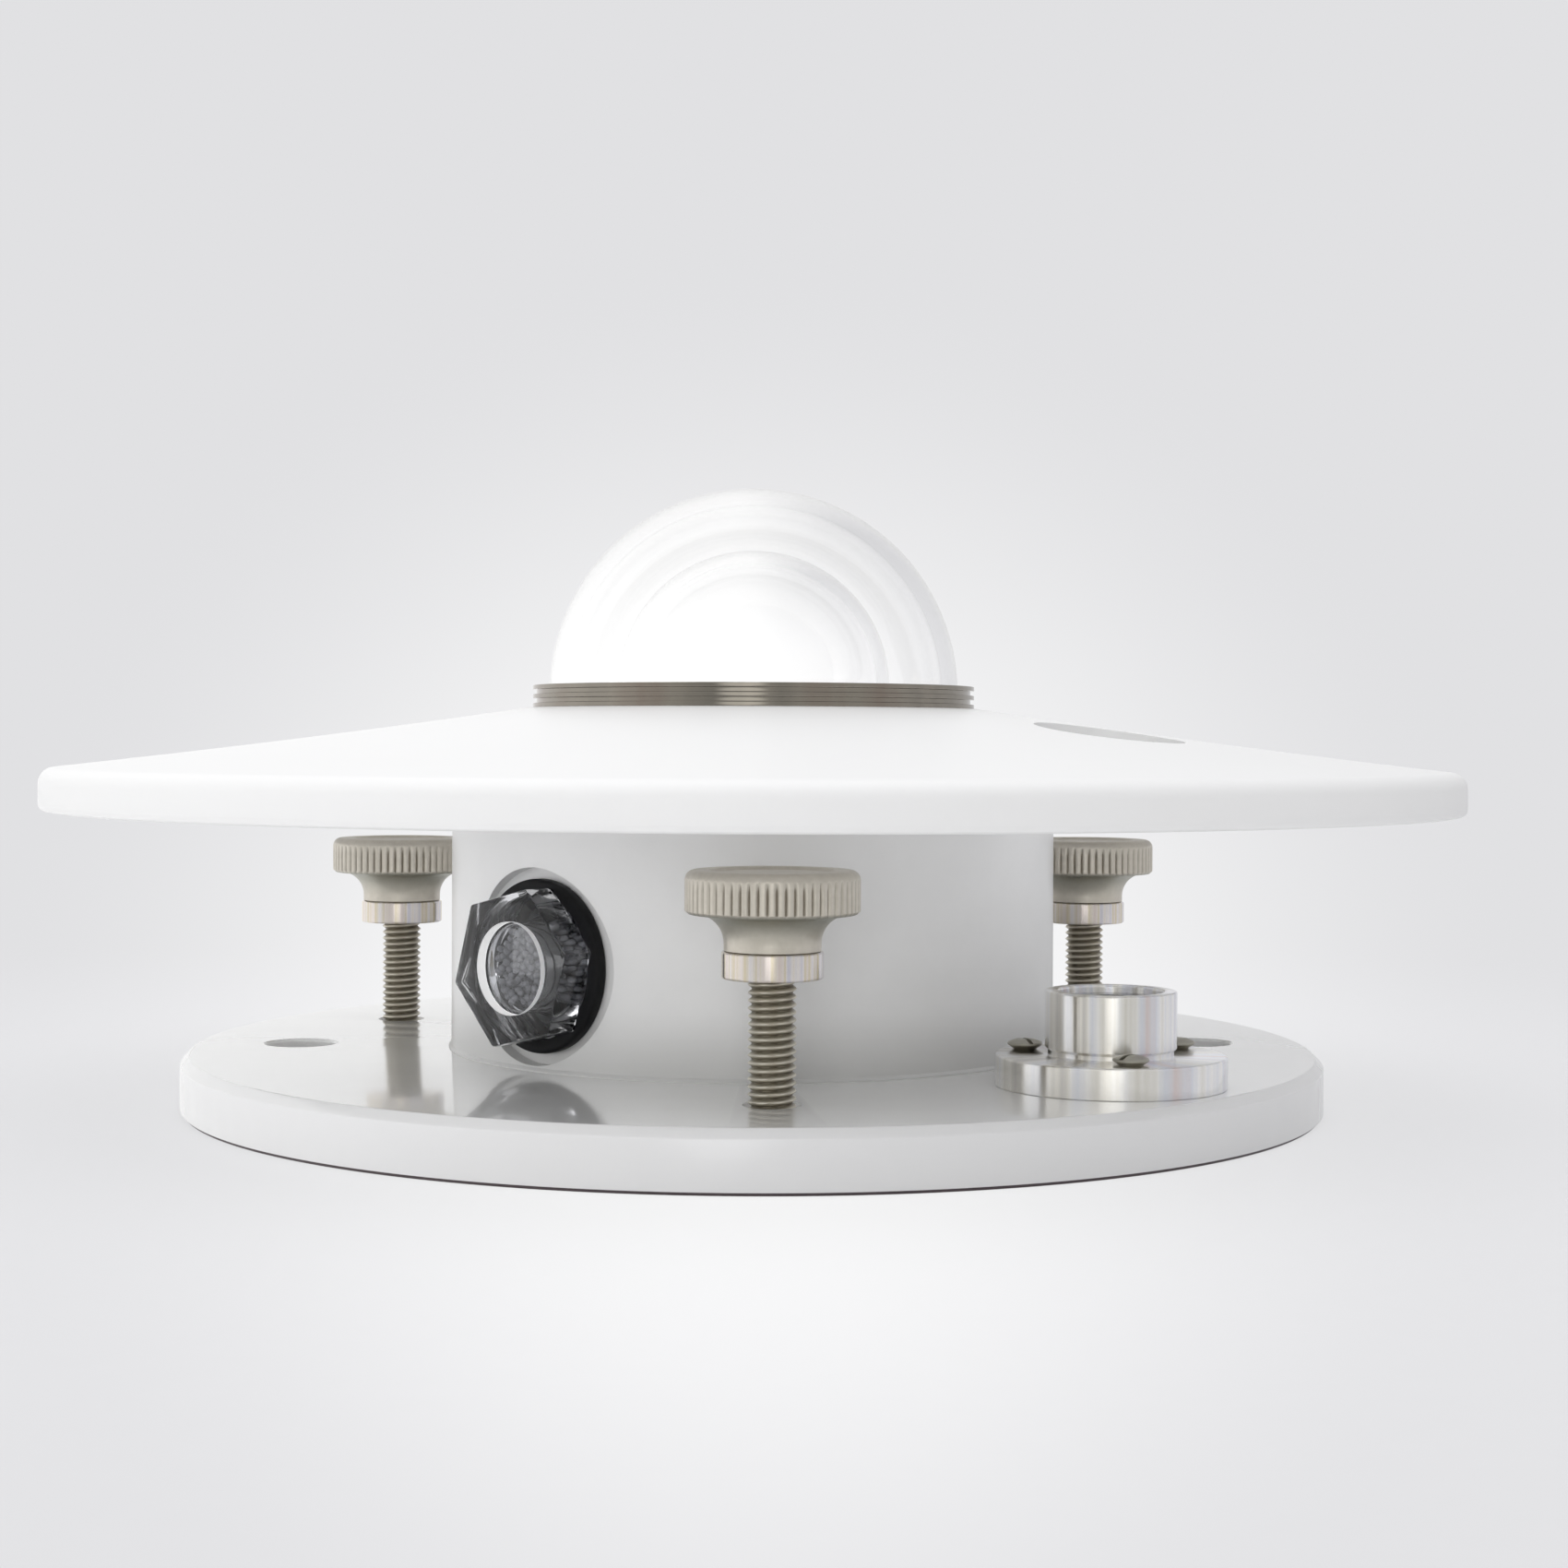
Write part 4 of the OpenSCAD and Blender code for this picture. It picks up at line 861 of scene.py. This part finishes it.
def buildScrew(side, angle):
    size = {"reach": 52.5, "stud": 2.5, "tipZ": 0.3, "tipChamfer": 0.6, "pitch": 0.8,
            "threadDepth": 0.42, "threadTop": 20.2, "collar": 5.25, "collarZ": 19.4,
            "collarTop": 22.2, "knobZ": 22.25, "neck": 5.0, "cove": 3.0, "bandZ": 26.0,
            "underside": 8.6, "flank": 0.35, "knob": 9.0, "bandStep": 0.4, "topZ": 30.5,
            "topRound": 1.0, "dish": 6.5, "dishDepth": 0.3, "flutes": 60,
            "fluteDepth": 0.26, "bore": 2.55, "grip": 28.75}
    place = placeAt(*(turnBy(angle) @ Vector((size["reach"], 0, 0))))
    band = [(size["knob"], size["bandZ"] + size["flank"] + size["bandStep"] * i)
            for i in range(1, 7)]
    profile = rounded([
        (size["bore"], size["knobZ"]), (size["neck"], size["knobZ"], 0.08),
        (size["neck"], size["bandZ"] - size["cove"])], closed=False)
    profile += arc(size["neck"] + size["cove"], size["bandZ"] - size["cove"], size["cove"],
                   180, 90, 12)[1:]
    profile += rounded([
        (size["underside"] - 0.4, size["bandZ"]), (size["underside"], size["bandZ"], 0.15),
        (size["knob"], size["bandZ"] + size["flank"], 0.15), band[0]], closed=False)[1:-1]
    profile += band
    profile += arc(size["knob"] - size["topRound"], size["topZ"] - size["topRound"],
                   size["topRound"], 0, 90, 8)
    profile += rounded([
        (size["dish"] + 1, size["topZ"]), (size["dish"], size["topZ"], 0.2),
        (size["dish"] - 0.35, size["topZ"] - size["dishDepth"], 0.2),
        (0, size["topZ"] - size["dishDepth"])], closed=False)[1:]
    profile += [(0, size["grip"]), (size["bore"], size["grip"])]
    knob = meshPiece(side + "Knob", turnedMesh(side + "Knob", profile, size["flutes"] * 8),
                     blastedAluminium)
    grow(knob, straightKnurl, {
        "Flutes": size["flutes"], "Depth": size["fluteDepth"] * mm,
        "Radius": size["knob"] * mm, "Foot": (size["bandZ"] + 0.1) * mm,
        "Top": (size["topZ"] - 0.85) * mm, "Run Out": size["flank"] * mm}, blastedAluminium)
    plain(knob)
    finishPiece(knob, side + "_screw", [side + "_knob"], place, 50)

    collar = rounded([
        (size["bore"], size["collarZ"]), (size["collar"], size["collarZ"], 0.3),
        (size["collar"], size["collarTop"], 0.25), (size["bore"], size["collarTop"])])
    turnedPiece(side + "Collar", collar, collarAluminium, side + "_collar_ring",
                [side + "_collar"], place, 96)

    rows = int((size["threadTop"] + 1.2) / size["pitch"] * 8)
    step = size["pitch"] / 8
    foot = size["tipZ"] + size["tipChamfer"]
    profile = [(0, size["tipZ"]), (size["stud"] - size["tipChamfer"], size["tipZ"])]
    profile += [(size["stud"], foot + step * i) for i in range(rows - 8)]
    profile += [(size["stud"], size["grip"]), (0, size["grip"])]
    stud = meshPiece(side + "Stud", turnedMesh(side + "Stud", profile, 64, False),
                     threadSteel)
    cutThread(stud, size["pitch"], size["threadDepth"], size["stud"], size["tipZ"],
              size["threadTop"], threadSteel)
    finishPiece(stud, side + "_screw", [side + "_stud"], place, 60)


for side, angle in (("front", -90), ("left", 150), ("right", 30)):
    buildScrew(side, angle)
print("levelling screws knurled and threaded")


# Copies of one small piece on a circle, each turned its own way

def copiesTree():
    tree, given = startTree("copiesOnCircle", {
        "Count": ("NodeSocketInt", 3), "Circle Radius": ("NodeSocketFloat", 0.01),
        "Start Angle": ("NodeSocketFloat", 0.0), "Spin": ("NodeSocketFloat", 3.1416),
        "Seed": ("NodeSocketInt", 4)})
    circle = addNode(tree, "GeometryNodeMeshCircle", {
        "Vertices": given["Count"], "Radius": given["Circle Radius"]})
    spin = addNode(tree, "FunctionNodeRandomValue", {
        "Max": given["Spin"], "Seed": given["Seed"]}, data_type="FLOAT")
    rotation = addNode(tree, "CombineXYZ", {"Z": spin})
    copies = addNode(tree, "GeometryNodeInstanceOnPoints", {
        "Points": circle, "Instance": given["Geometry"], "Rotation": rotation})
    start = addNode(tree, "CombineXYZ", {"Z": given["Start Angle"]})
    turned = addNode(tree, "GeometryNodeTransform", {"Geometry": copies, "Rotation": start})
    return endTree(tree, given, turned)


copiesOnCircle = copiesTree()


def copiesPiece(name, mesh, material, sizes, body, replaced, place):
    piece = meshPiece(name, mesh, material)
    smoothEdges(piece.data)
    grow(piece, copiesOnCircle, sizes, material)
    plain(piece)
    finishPiece(piece, body, replaced, place)


# Bubble level

def slottedScrew(name, profile, slotWidth, slotDepth, topZ, segments=48):
    # a turned screw with a straight slot sawn across its head
    piece = meshPiece(name, turnedMesh(name, profile, segments, False), screwSteel)
    saw = bmesh.new()
    bmesh.ops.create_cube(saw, size=1.0, matrix=placeAt(z=topZ) @ Matrix.Diagonal(
        (20 * mm, slotWidth * mm, 2 * slotDepth * mm, 1)))
    cutAway(piece, [meshPiece("saw", meshFrom(saw, "saw"))])
    result = piece.data
    bpy.data.objects.remove(piece)
    return result


def buildLevel():
    size = {"reach": 53.5, "angle": -45.7, "footZ": 6.5, "flange": 12.5,
            "flangeTop": 9.9, "tube": 7.1, "groove": 0.3, "grooveTop": 10.4, "topZ": 16.8,
            "bore": 5.6, "floorZ": 8.1, "soft": 0.25, "screwCircle": 9.8,
            "screwPhase": -88, "screwLength": 3.4, "shaft": 1.2, "head": 1.95,
            "crownTop": 1.15, "slotWidth": 0.5, "slotDepth": 0.45, "targetZ": 16.0,
            "targetInner": 2.35, "targetOuter": 2.65}
    turn = math.radians(size["angle"])
    middle = (size["reach"] * math.cos(turn), size["reach"] * math.sin(turn))
    place = placeAt(*middle)
    cup = rounded([
        (0, size["footZ"]), (size["flange"], size["footZ"], 0.12),
        (size["flange"], size["flangeTop"], 0.3),
        (size["tube"] - size["groove"], size["flangeTop"], 0.08),
        (size["tube"] - size["groove"], size["grooveTop"], 0.05),
        (size["tube"], size["grooveTop"] + size["groove"], 0.08),
        (size["tube"], size["topZ"], size["soft"]), (size["bore"], size["topZ"], 0.3),
        (size["bore"], size["floorZ"]), (0, size["floorZ"])], closed=False)
    turnedPiece("levelCup", cup, turnedAluminium, "instrument",
                ["level_housing"], place, 192, False)
    head = rounded([
        (0, -size["screwLength"]), (size["shaft"], -size["screwLength"]), (size["shaft"], 0.0),
        (size["head"] - 0.1, 0.45, 0.1), (size["head"], 0.6, 0.1),
        (size["head"] - 0.12, 0.78, 0.1), (1.0, 1.1, 0.8), (0, size["crownTop"])], closed=False)
    screw = slottedScrew("levelScrew", head, size["slotWidth"], size["slotDepth"],
                         size["crownTop"])
    copiesPiece("levelScrews", screw, screwSteel, {
        "Count": 3, "Circle Radius": size["screwCircle"] * mm,
        "Start Angle": math.radians(size["screwPhase"]), "Spin": math.pi, "Seed": 7},
        "instrument", ["level_screws"],
        placeAt(*middle, size["flangeTop"]))
    ring = rounded([
        (size["targetInner"], 0), (size["targetOuter"], 0), (size["targetOuter"], 0.03),
        (size["targetInner"], 0.03)])
    turnedPiece("levelTarget", ring, insertPlastic, "instrument", (),
                placeAt(*middle, size["targetZ"]), 64)


buildLevel()
print("bubble level made")


# Drying cartridge: clear hexagon plug, its washer and the gel inside

# close packing: steps of rows and layers, and how far a layer shifts, in bead widths
packing = {"row": 0.866, "layer": 0.816, "shift": 0.289}


def beadTree():
    tree, given = startTree("gelBeads", {
        "Across": ("NodeSocketInt", 6), "Along": ("NodeSocketInt", 12),
        "Bead Radius": ("NodeSocketFloat", 0.0011),
        "Space Radius": ("NodeSocketFloat", 0.0055), "Seed": ("NodeSocketInt", 3)})
    across, radius = given["Across"], given["Bead Radius"]
    layer = addNode(tree, "Math", [across, across], operation="MULTIPLY")
    count = addNode(tree, "Math", [layer, given["Along"]], operation="MULTIPLY")
    index = addNode(tree, "GeometryNodeInputIndex")
    i = addNode(tree, "Math", [index, across], operation="MODULO")
    rowRatio = addNode(tree, "Math", [index, across], operation="DIVIDE")
    rowFloor = addNode(tree, "Math", [rowRatio], operation="FLOOR")
    j = addNode(tree, "Math", [rowFloor, across], operation="MODULO")
    kRatio = addNode(tree, "Math", [index, layer], operation="DIVIDE")
    k = addNode(tree, "Math", [kRatio], operation="FLOOR")
    oddRow = addNode(tree, "Math", [j, 2.0], operation="MODULO")
    oddLayer = addNode(tree, "Math", [k, 2.0], operation="MODULO")
    odd = addNode(tree, "Math", [oddRow, oddLayer], operation="ADD")
    x = addNode(tree, "Math", [odd, 0.5, i], operation="MULTIPLY_ADD")
    yRow = addNode(tree, "Math", [j, packing["row"]], operation="MULTIPLY")
    y = addNode(tree, "Math", [oddLayer, packing["shift"], yRow], operation="MULTIPLY_ADD")
    z = addNode(tree, "Math", [k, packing["layer"]], operation="MULTIPLY")
    lattice = addNode(tree, "CombineXYZ", {"X": x, "Y": y, "Z": z})
    width = addNode(tree, "Math", [radius, 2.0], operation="MULTIPLY")
    spread = addNode(tree, "VectorMath", {0: lattice, "Scale": width}, operation="SCALE")
    middle = addNode(tree, "Math", [across, radius], operation="MULTIPLY")
    middleY = addNode(tree, "Math", [middle, packing["row"]], operation="MULTIPLY")
    corner = addNode(tree, "CombineXYZ", {"X": middle, "Y": middleY})
    centred = addNode(tree, "VectorMath", [spread, corner], operation="SUBTRACT")
    play = Vector((0.3, 0.3, 0.2)) * mm
    jitter = addNode(tree, "FunctionNodeRandomValue", {
        "Min": -play, "Max": play, "Seed": given["Seed"]}, data_type="FLOAT_VECTOR")
    loose = addNode(tree, "VectorMath", [centred, jitter], operation="ADD")
    points = addNode(tree, "GeometryNodePoints", {"Count": count, "Position": loose})
    place = addNode(tree, "GeometryNodeInputPosition")
    x, y, z = addNode(tree, "SeparateXYZ", [place]).outputs
    flat = addNode(tree, "CombineXYZ", {"X": x, "Y": y})
    reach = addNode(tree, "VectorMath", [flat], operation="LENGTH")
    room = addNode(tree, "Math", [given["Space Radius"], radius], operation="SUBTRACT")
    outside = addNode(tree, "Math", [reach, room], operation="GREATER_THAN")
    left = addNode(tree, "GeometryNodeDeleteGeometry", {
        "Geometry": points, "Selection": outside}, domain="POINT")
    bead = addNode(tree, "GeometryNodeMeshUVSphere", {
        "Segments": 7, "Rings": 5, "Radius": radius})
    smooth = addNode(tree, "GeometryNodeSetShadeSmooth", {"Geometry": bead})
    grade = addNode(tree, "FunctionNodeRandomValue", {
        "Min": 0.82, "Max": 1.0, "Seed": given["Seed"]}, data_type="FLOAT")
    beads = addNode(tree, "GeometryNodeInstanceOnPoints", {
        "Points": left, "Instance": smooth, "Scale": grade})
    return endTree(tree, given, beads)


def buildCartridge():
    size = {"angle": -134.3, "z": 18.2, "washer": 9.8, "washerInner": 8.2,
            "washerFace": 34.73, "washerTop": 36.23, "face": 36.28, "hexWidth": 16.2,
            "hexHeight": 4.1, "hexTurn": 13.3, "chamfer": 0.3, "window": 5.2,
            "windowDepth": 1.2, "thread": 8.0, "threadFoot": 26.68, "threadTop": 36.0,
            "threadDepth": 0.75, "pitch": 1.5, "capsule": 6.9, "capsuleBore": 5.0,
            "capsuleEnd": 13.68, "boreTop": 38.9, "gelFront": 38.75, "bead": 0.5}
    place = radialPlace(size["angle"], size["z"])
    washer = rounded([
        (size["washerInner"], size["washerFace"]), (size["washer"], size["washerFace"], 0.35),
        (size["washer"], size["washerTop"], 0.45),
        (size["washerInner"], size["washerTop"], 0.1)])
    turnedPiece("plugWasher", washer, mouldedRubber, "cartridge_washer",
                ["drying_washer"], place, 128)

    corner = size["hexWidth"] / 2 / math.cos(math.radians(30))
    top = size["face"] + size["hexHeight"]
    prism = bmesh.new()
    bmesh.ops.create_cone(prism, cap_ends=True, segments=6, radius1=corner * mm,
                          radius2=corner * mm, depth=size["hexHeight"] * mm,
                          matrix=placeAt(z=size["face"] + size["hexHeight"] / 2)
                          @ turnBy(size["hexTurn"]))
    bmesh.ops.bevel(prism, geom=list(prism.edges), offset=size["chamfer"] * mm, segments=2,
                    affect="EDGES", profile=0.5)
    plug = meshPiece("dryingPlug", meshFrom(prism, "dryingPlug"), clearAcrylic)
    step = size["pitch"] / 8
    rows = int((size["threadTop"] - size["threadFoot"]) / step)
    stem = meshPiece("stem", turnedMesh("stem", rounded([
        (0, size["capsuleEnd"]), (size["capsule"], size["capsuleEnd"]),
        (size["capsule"], size["threadFoot"] - 0.5), (size["thread"] - 0.2,
                                                      size["threadFoot"])], closed=False)
        + [(size["thread"], size["threadFoot"] + 0.1 + step * i) for i in range(rows)]
        + [(size["thread"], size["face"] + 0.6), (0, size["face"] + 0.6)], 96))
    cutThread(stem, size["pitch"], size["threadDepth"], size["thread"],
              size["threadFoot"], size["threadTop"], clearAcrylic)
    cutAway(plug, [stem], "UNION")
    window = turnedCutter(rounded([
        (0, top - size["windowDepth"]), (size["window"], top - size["windowDepth"], 0.1),
        (size["window"], top + 1), (0, top + 1)], closed=False), Matrix(), 128)
    bore = turnedCutter(rounded(
        stepped(size["capsuleEnd"] - 1, (size["capsuleBore"], size["boreTop"], 0.3)),
        closed=False), Matrix(), 96)
    cutAway(plug, [window, bore])
    # the recess wall is left as the cutter made it, white and matt, with a painted glow
    plug.data.materials.append(glowingCutAcrylic)
    for face in plug.data.polygons:
        spot, way = face.center / mm, face.normal
        if (abs(spot.xy.length - size["window"]) < 0.15 and abs(way.z) < 0.9
                and spot.z > top - size["windowDepth"] - 0.05):
            face.material_index = 1
    finishPiece(plug, "cartridge", ["drying_plug"], place, 30)

    beads = meshPiece("gelBeads", bpy.data.meshes.new("gelBeads"), gelBeadFinish)
    layer = 2 * size["bead"] * packing["layer"]
    grow(beads, beadTree(), {
        "Across": int(size["capsuleBore"] / size["bead"]) + 2,
        "Along": int((size["gelFront"] - size["capsuleEnd"] - 3) / layer),
        "Bead Radius": size["bead"] * mm, "Space Radius": (size["capsuleBore"] - 0.05) * mm,
        "Seed": 3}, gelBeadFinish)
    plain(beads)
    highest = max(v.co.z for v in beads.data.vertices) / mm
    finishPiece(beads, "cartridge", ["drying_gel"],
                place @ placeAt(z=size["gelFront"] - highest), 180)
    print("gel beads:", len(beads.data.polygons), "faces")


buildCartridge()
print("drying cartridge made")


# Output socket on the far side

def buildSocket():
    size = {"z": 19.0, "seat": 34.345, "gasket": 0.5, "flange": 11.8, "flangeHeight": 2.0,
            "thread": 8.0, "mouth": 46.545, "bore": 6.6, "pitch": 1.0, "threadDepth": 0.5,
            "body": 7.4, "back": 23.845, "screwCircle": 10.35, "screwLength": 4.85,
            "screwHead": 1.3, "pinCircle": 3.2, "pin": 0.75, "pinFoot": 21.845,
            "pinLength": 20.8}
    place = radialPlace(90, size["z"])
    face = size["seat"] + size["gasket"]
    floor = face + size["flangeHeight"]
    rows = int((size["mouth"] - 0.5 - floor - 0.4) / size["pitch"] * 8)
    side = [(size["thread"], floor + 0.4 + size["pitch"] / 8 * i) for i in range(rows + 1)]
    profile = [(size["bore"], size["back"]), (size["body"], size["back"]), (size["body"], face)]
    profile += rounded([
        (size["body"], face), (size["flange"], face, 0.15), (size["flange"], floor, 0.25),
        (size["thread"], floor, 0.1), side[0]], closed=False)[1:-1]
    profile += side
    profile += rounded([side[-1], (size["thread"], size["mouth"], 0.4),
                        (size["bore"], size["mouth"], 0.3), (size["bore"], size["back"])],
                       closed=False)[1:-1]
    shell = meshPiece("socketShell", turnedMesh("socketShell", profile, 96), socketNickel)
    cutThread(shell, size["pitch"], size["threadDepth"], size["thread"], floor + 0.6,
              size["mouth"] - 0.3, socketNickel)
    finishPiece(shell, "instrument", ["socket_shell"], place, 40)

    head = rounded([
        (0, -size["screwLength"]), (0.9, -size["screwLength"]), (0.9, 0),
        (size["screwHead"], 0, 0.1), (size["screwHead"], 0.75, 0.35), (0, 1.0)], closed=False)
    screw = slottedScrew("socketScrew", head, 0.4, 0.45, 1.0, 32)
    copiesPiece("socketScrews", screw, screwSteel, {
        "Count": 3, "Circle Radius": size["screwCircle"] * mm, "Start Angle": 0.0,
        "Spin": math.pi, "Seed": 11}, "instrument", ["socket_screws"],
        place @ placeAt(z=floor))
    pin = turnedMesh("contactPin", rounded(
        stepped(0, (size["pin"], size["pinLength"], 0.5)), closed=False), 32, False)
    copiesPiece("contactPins", pin, pinGold, {
        "Count": 4, "Circle Radius": size["pinCircle"] * mm,
        "Start Angle": math.radians(45), "Spin": 0.0, "Seed": 1}, "instrument",
        ["socket_pins"], place @ placeAt(z=size["pinFoot"]))


buildSocket()
print("output socket made")


# Nodes whose CAD shape stays, with the finish of each
keptNodes = {
    "housing_seal": mouldedRubber, "housing_screws": screwSteel, "dome_seal": mouldedRubber,
    "inner_dome_ring": housingEnamel, "sensor_block": axisSteel, "sensor_screws": screwSteel,
    "thermopile": woundCopper, "receiver_disc": receiverLacquer, "guard_plate": housingEnamel,
    "sensor_leads": woundCopper, "terminal_board": boardLaminate,
    "board_standoffs": turnedBrass, "board_screws": screwSteel,
    "terminal_block": terminalPlastic, "trim_resistors": resistorLacquer,
    "output_leads": leadInsulation, "socket_gasket": mouldedRubber,
    "socket_insert": insertPlastic, "level_vial": vialGlass, "level_liquid": levelSpirit,
    "drying_cap": capNylon}
for name, material in keptNodes.items():
    for holder in nodes[name].material_slots:
        holder.material = material


# Stage: pale floor, a bright plain surround, soft studio lamps

def seenStraight(tree, path):
    # 1 for rays from the camera and for those that gloss and glass send on, else 0
    seen = addNode(tree, "Math", [
        path["Is Camera Ray"], path["Is Glossy Ray"]], operation="MAXIMUM")
    return addNode(tree, "Math", [seen, path["Is Transmission Ray"]], operation="MAXIMUM")


def buildFloor():
    look = {"radius": 1.5, "drop": 0.02, "tones": ("#fafafb", "#eeeeef"), "toothMm": 3.0,
            "share": 0.16, "near": 0.09, "far": 0.26}
    shape = bmesh.new()
    bmesh.ops.create_circle(shape, cap_ends=True, segments=64, radius=look["radius"],
                            matrix=placeAt(z=-look["drop"]))
    # Paper sweep, matt from the mill: pale, with the faint tooth of the sheet, and it fades
    # out into the surround
    material, tree, shader = newFinish("paperFloor", {
        "Roughness": 0.9, "Specular IOR Level": 0.1})
    point = addNode(tree, "TexCoord").outputs["Object"]
    tooth = addNode(tree, "TexNoise", {
        "Vector": point, "Scale": perMetre(look["toothMm"]), "Detail": 4.0})
    tone = addNode(tree, "Mix", {
        "Factor": tooth, "A": linear(look["tones"][0]), "B": linear(look["tones"][1])},
        data_type="RGBA")
    feed(tree, shader, {"Base Color": tone})
    reach = addNode(tree, "VectorMath", [point], operation="LENGTH")
    share = addNode(tree, "MapRange", {
        "Value": reach, "From Min": look["near"], "From Max": look["far"],
        "To Min": look["share"], "To Max": 0.0}, interpolation_type="SMOOTHSTEP")
    hidden = addNode(tree, "Math", [1.0, share], operation="SUBTRACT")
    seen = seenStraight(tree, addNode(tree, "LightPath").outputs)
    fade = addNode(tree, "Math", [hidden, seen], operation="MULTIPLY")
    clear = addNode(tree, "BsdfTransparent")
    blended = addNode(tree, "MixShader", [fade, shader, clear])
    feed(tree, tree.nodes["Material Output"], {"Surface": blended})
    mesh = meshFrom(shape, "floor")
    meshPiece("floor", mesh, material)


def buildWorld():
    look = {"edge": "#e1e1e3", "glow": "#ffffff", "glowAngle": 17.2, "glowDrop": 6.3,
            "tentLeft": "#fdfdfd", "tentRight": "#d6d6d8", "rightEdge": 0.35,
            "room": "#cacac8", "roomShare": 0.85, "roomFrom": (0.1, -0.8),
            "roomTop": (0.2, 0.5), "windowTurn": -8.2, "windowRise": 0.05, "windowCore": 8,
            "windowEdge": 14, "windowLight": 2.3, "overhead": "#fcfcff", "leftLight": 0.3,
            "rightLight": 0.12, "sideReach": 0.7, "highLight": 1.95,
            "highFrom": (0.5, 0.9)}
    world = bpy.data.worlds.new("surround")
    bpy.context.scene.world = world
    world.use_nodes = True
    tree = world.node_tree
    tree.nodes.clear()
    path = addNode(tree, "LightPath").outputs
    way = addNode(tree, "TexCoord").outputs["Generated"]
    x, y, z = addNode(tree, "SeparateXYZ", [way]).outputs
    # a glow behind the instrument, in line with the camera
    turn, drop = math.radians(cameraLook["turn"]), math.radians(look["glowDrop"])
    glowWay = (math.sin(turn) * math.cos(drop), math.cos(turn) * math.cos(drop),
               -math.sin(drop))
    match = addNode(tree, "VectorMath", [way, glowWay], operation="DOT_PRODUCT")
    angle = addNode(tree, "Math", [match], operation="ARCCOSINE")
    glow = addNode(tree, "MapRange", {
        "Value": angle, "From Max": math.radians(look["glowAngle"]), "To Min": 1.0,
        "To Max": 0.0}, interpolation_type="SMOOTHSTEP")
    surround = addNode(tree, "Mix", {
        "Factor": glow, "A": linear(look["edge"]), "B": linear(look["glow"])}, data_type="RGBA")
    # what gloss mirrors: a white tent, greyer at the right and round the camera
    room = addNode(tree, "MapRange", {
        "Value": y, "From Min": look["roomFrom"][0], "From Max": look["roomFrom"][1],
        "To Max": look["roomShare"]}, interpolation_type="SMOOTHSTEP")
    above = addNode(tree, "MapRange", {
        "Value": z, "From Min": look["roomTop"][0], "From Max": look["roomTop"][1],
        "To Min": 1.0, "To Max": 0.0}, interpolation_type="SMOOTHSTEP")
    dim = addNode(tree, "Math", [room, above], operation="MULTIPLY")
    rightShare = addNode(tree, "MapRange", {"Value": x, "From Max": look["rightEdge"]})
    tent = addNode(tree, "Mix", {
        "Factor": rightShare, "A": linear(look["tentLeft"]), "B": linear(look["tentRight"])},
        data_type="RGBA")
    tentLook = addNode(tree, "Mix", {
        "Factor": dim, "A": tent, "B": linear(look["room"])}, data_type="RGBA")
    mirrored = addNode(tree, "Mix", {
        "Factor": path["Is Glossy Ray"], "A": surround, "B": tentLook}, data_type="RGBA")
    # the front softbox as gloss sees it, soft at its edges
    windowTurn = math.radians(look["windowTurn"])
    windowWay = (math.sin(windowTurn), -math.cos(windowTurn), look["windowRise"])
    windowMatch = addNode(tree, "VectorMath", [way, windowWay], operation="DOT_PRODUCT")
    windowAngle = addNode(tree, "Math", [windowMatch], operation="ARCCOSINE")
    window = addNode(tree, "MapRange", {
        "Value": windowAngle, "From Min": math.radians(look["windowEdge"]),
        "From Max": math.radians(look["windowCore"]), "To Min": 1.0,
        "To Max": look["windowLight"]})
    onlyGloss = addNode(tree, "Mix", {
        "Factor": path["Is Glossy Ray"], "A": 1.0, "B": window}, data_type="FLOAT")
    shown = addNode(tree, "Background", {"Color": mirrored, "Strength": onlyGloss})
    # what lights the object is strongest overhead, as under a large softbox
    sideways = addNode(tree, "MapRange", {
        "Value": x, "From Min": -look["sideReach"], "From Max": look["sideReach"],
        "To Min": look["leftLight"], "To Max": look["rightLight"]})
    overhead = addNode(tree, "MapRange", {
        "Value": z, "From Min": look["highFrom"][0], "From Max": look["highFrom"][1],
        "To Min": sideways, "To Max": look["highLight"]})
    lit = addNode(tree, "Background", {"Color": linear(look["overhead"]), "Strength": overhead})
    both = addNode(tree, "MixShader", [seenStraight(tree, path), lit, shown])
    addNode(tree, "OutputWorld", {"Surface": both})


def addSoftbox(name, place, size, power):
    # an area lamp that faces the middle of the instrument
    data = bpy.data.lights.new(name, "AREA")
    data.shape = "RECTANGLE"
    data.size, data.size_y = size
    data.energy = power
    lamp = bpy.data.objects.new(name, data)
    lamp.visible_glossy = False
    lamp.location = place
    lamp.rotation_euler = (Vector(place) - Vector((0, 0, 0.03))).to_track_quat(
        "Z", "Y").to_euler()
    bpy.context.scene.collection.objects.link(lamp)


buildFloor()
buildWorld()
addSoftbox("leftSoftbox", (-1.0, -0.3, 0.1), (0.8, 0.45), 2.8)
addSoftbox("frontSoftbox", (-0.145, -1.0, 0.1), (0.42, 0.5), 1.7)
print("stage set")
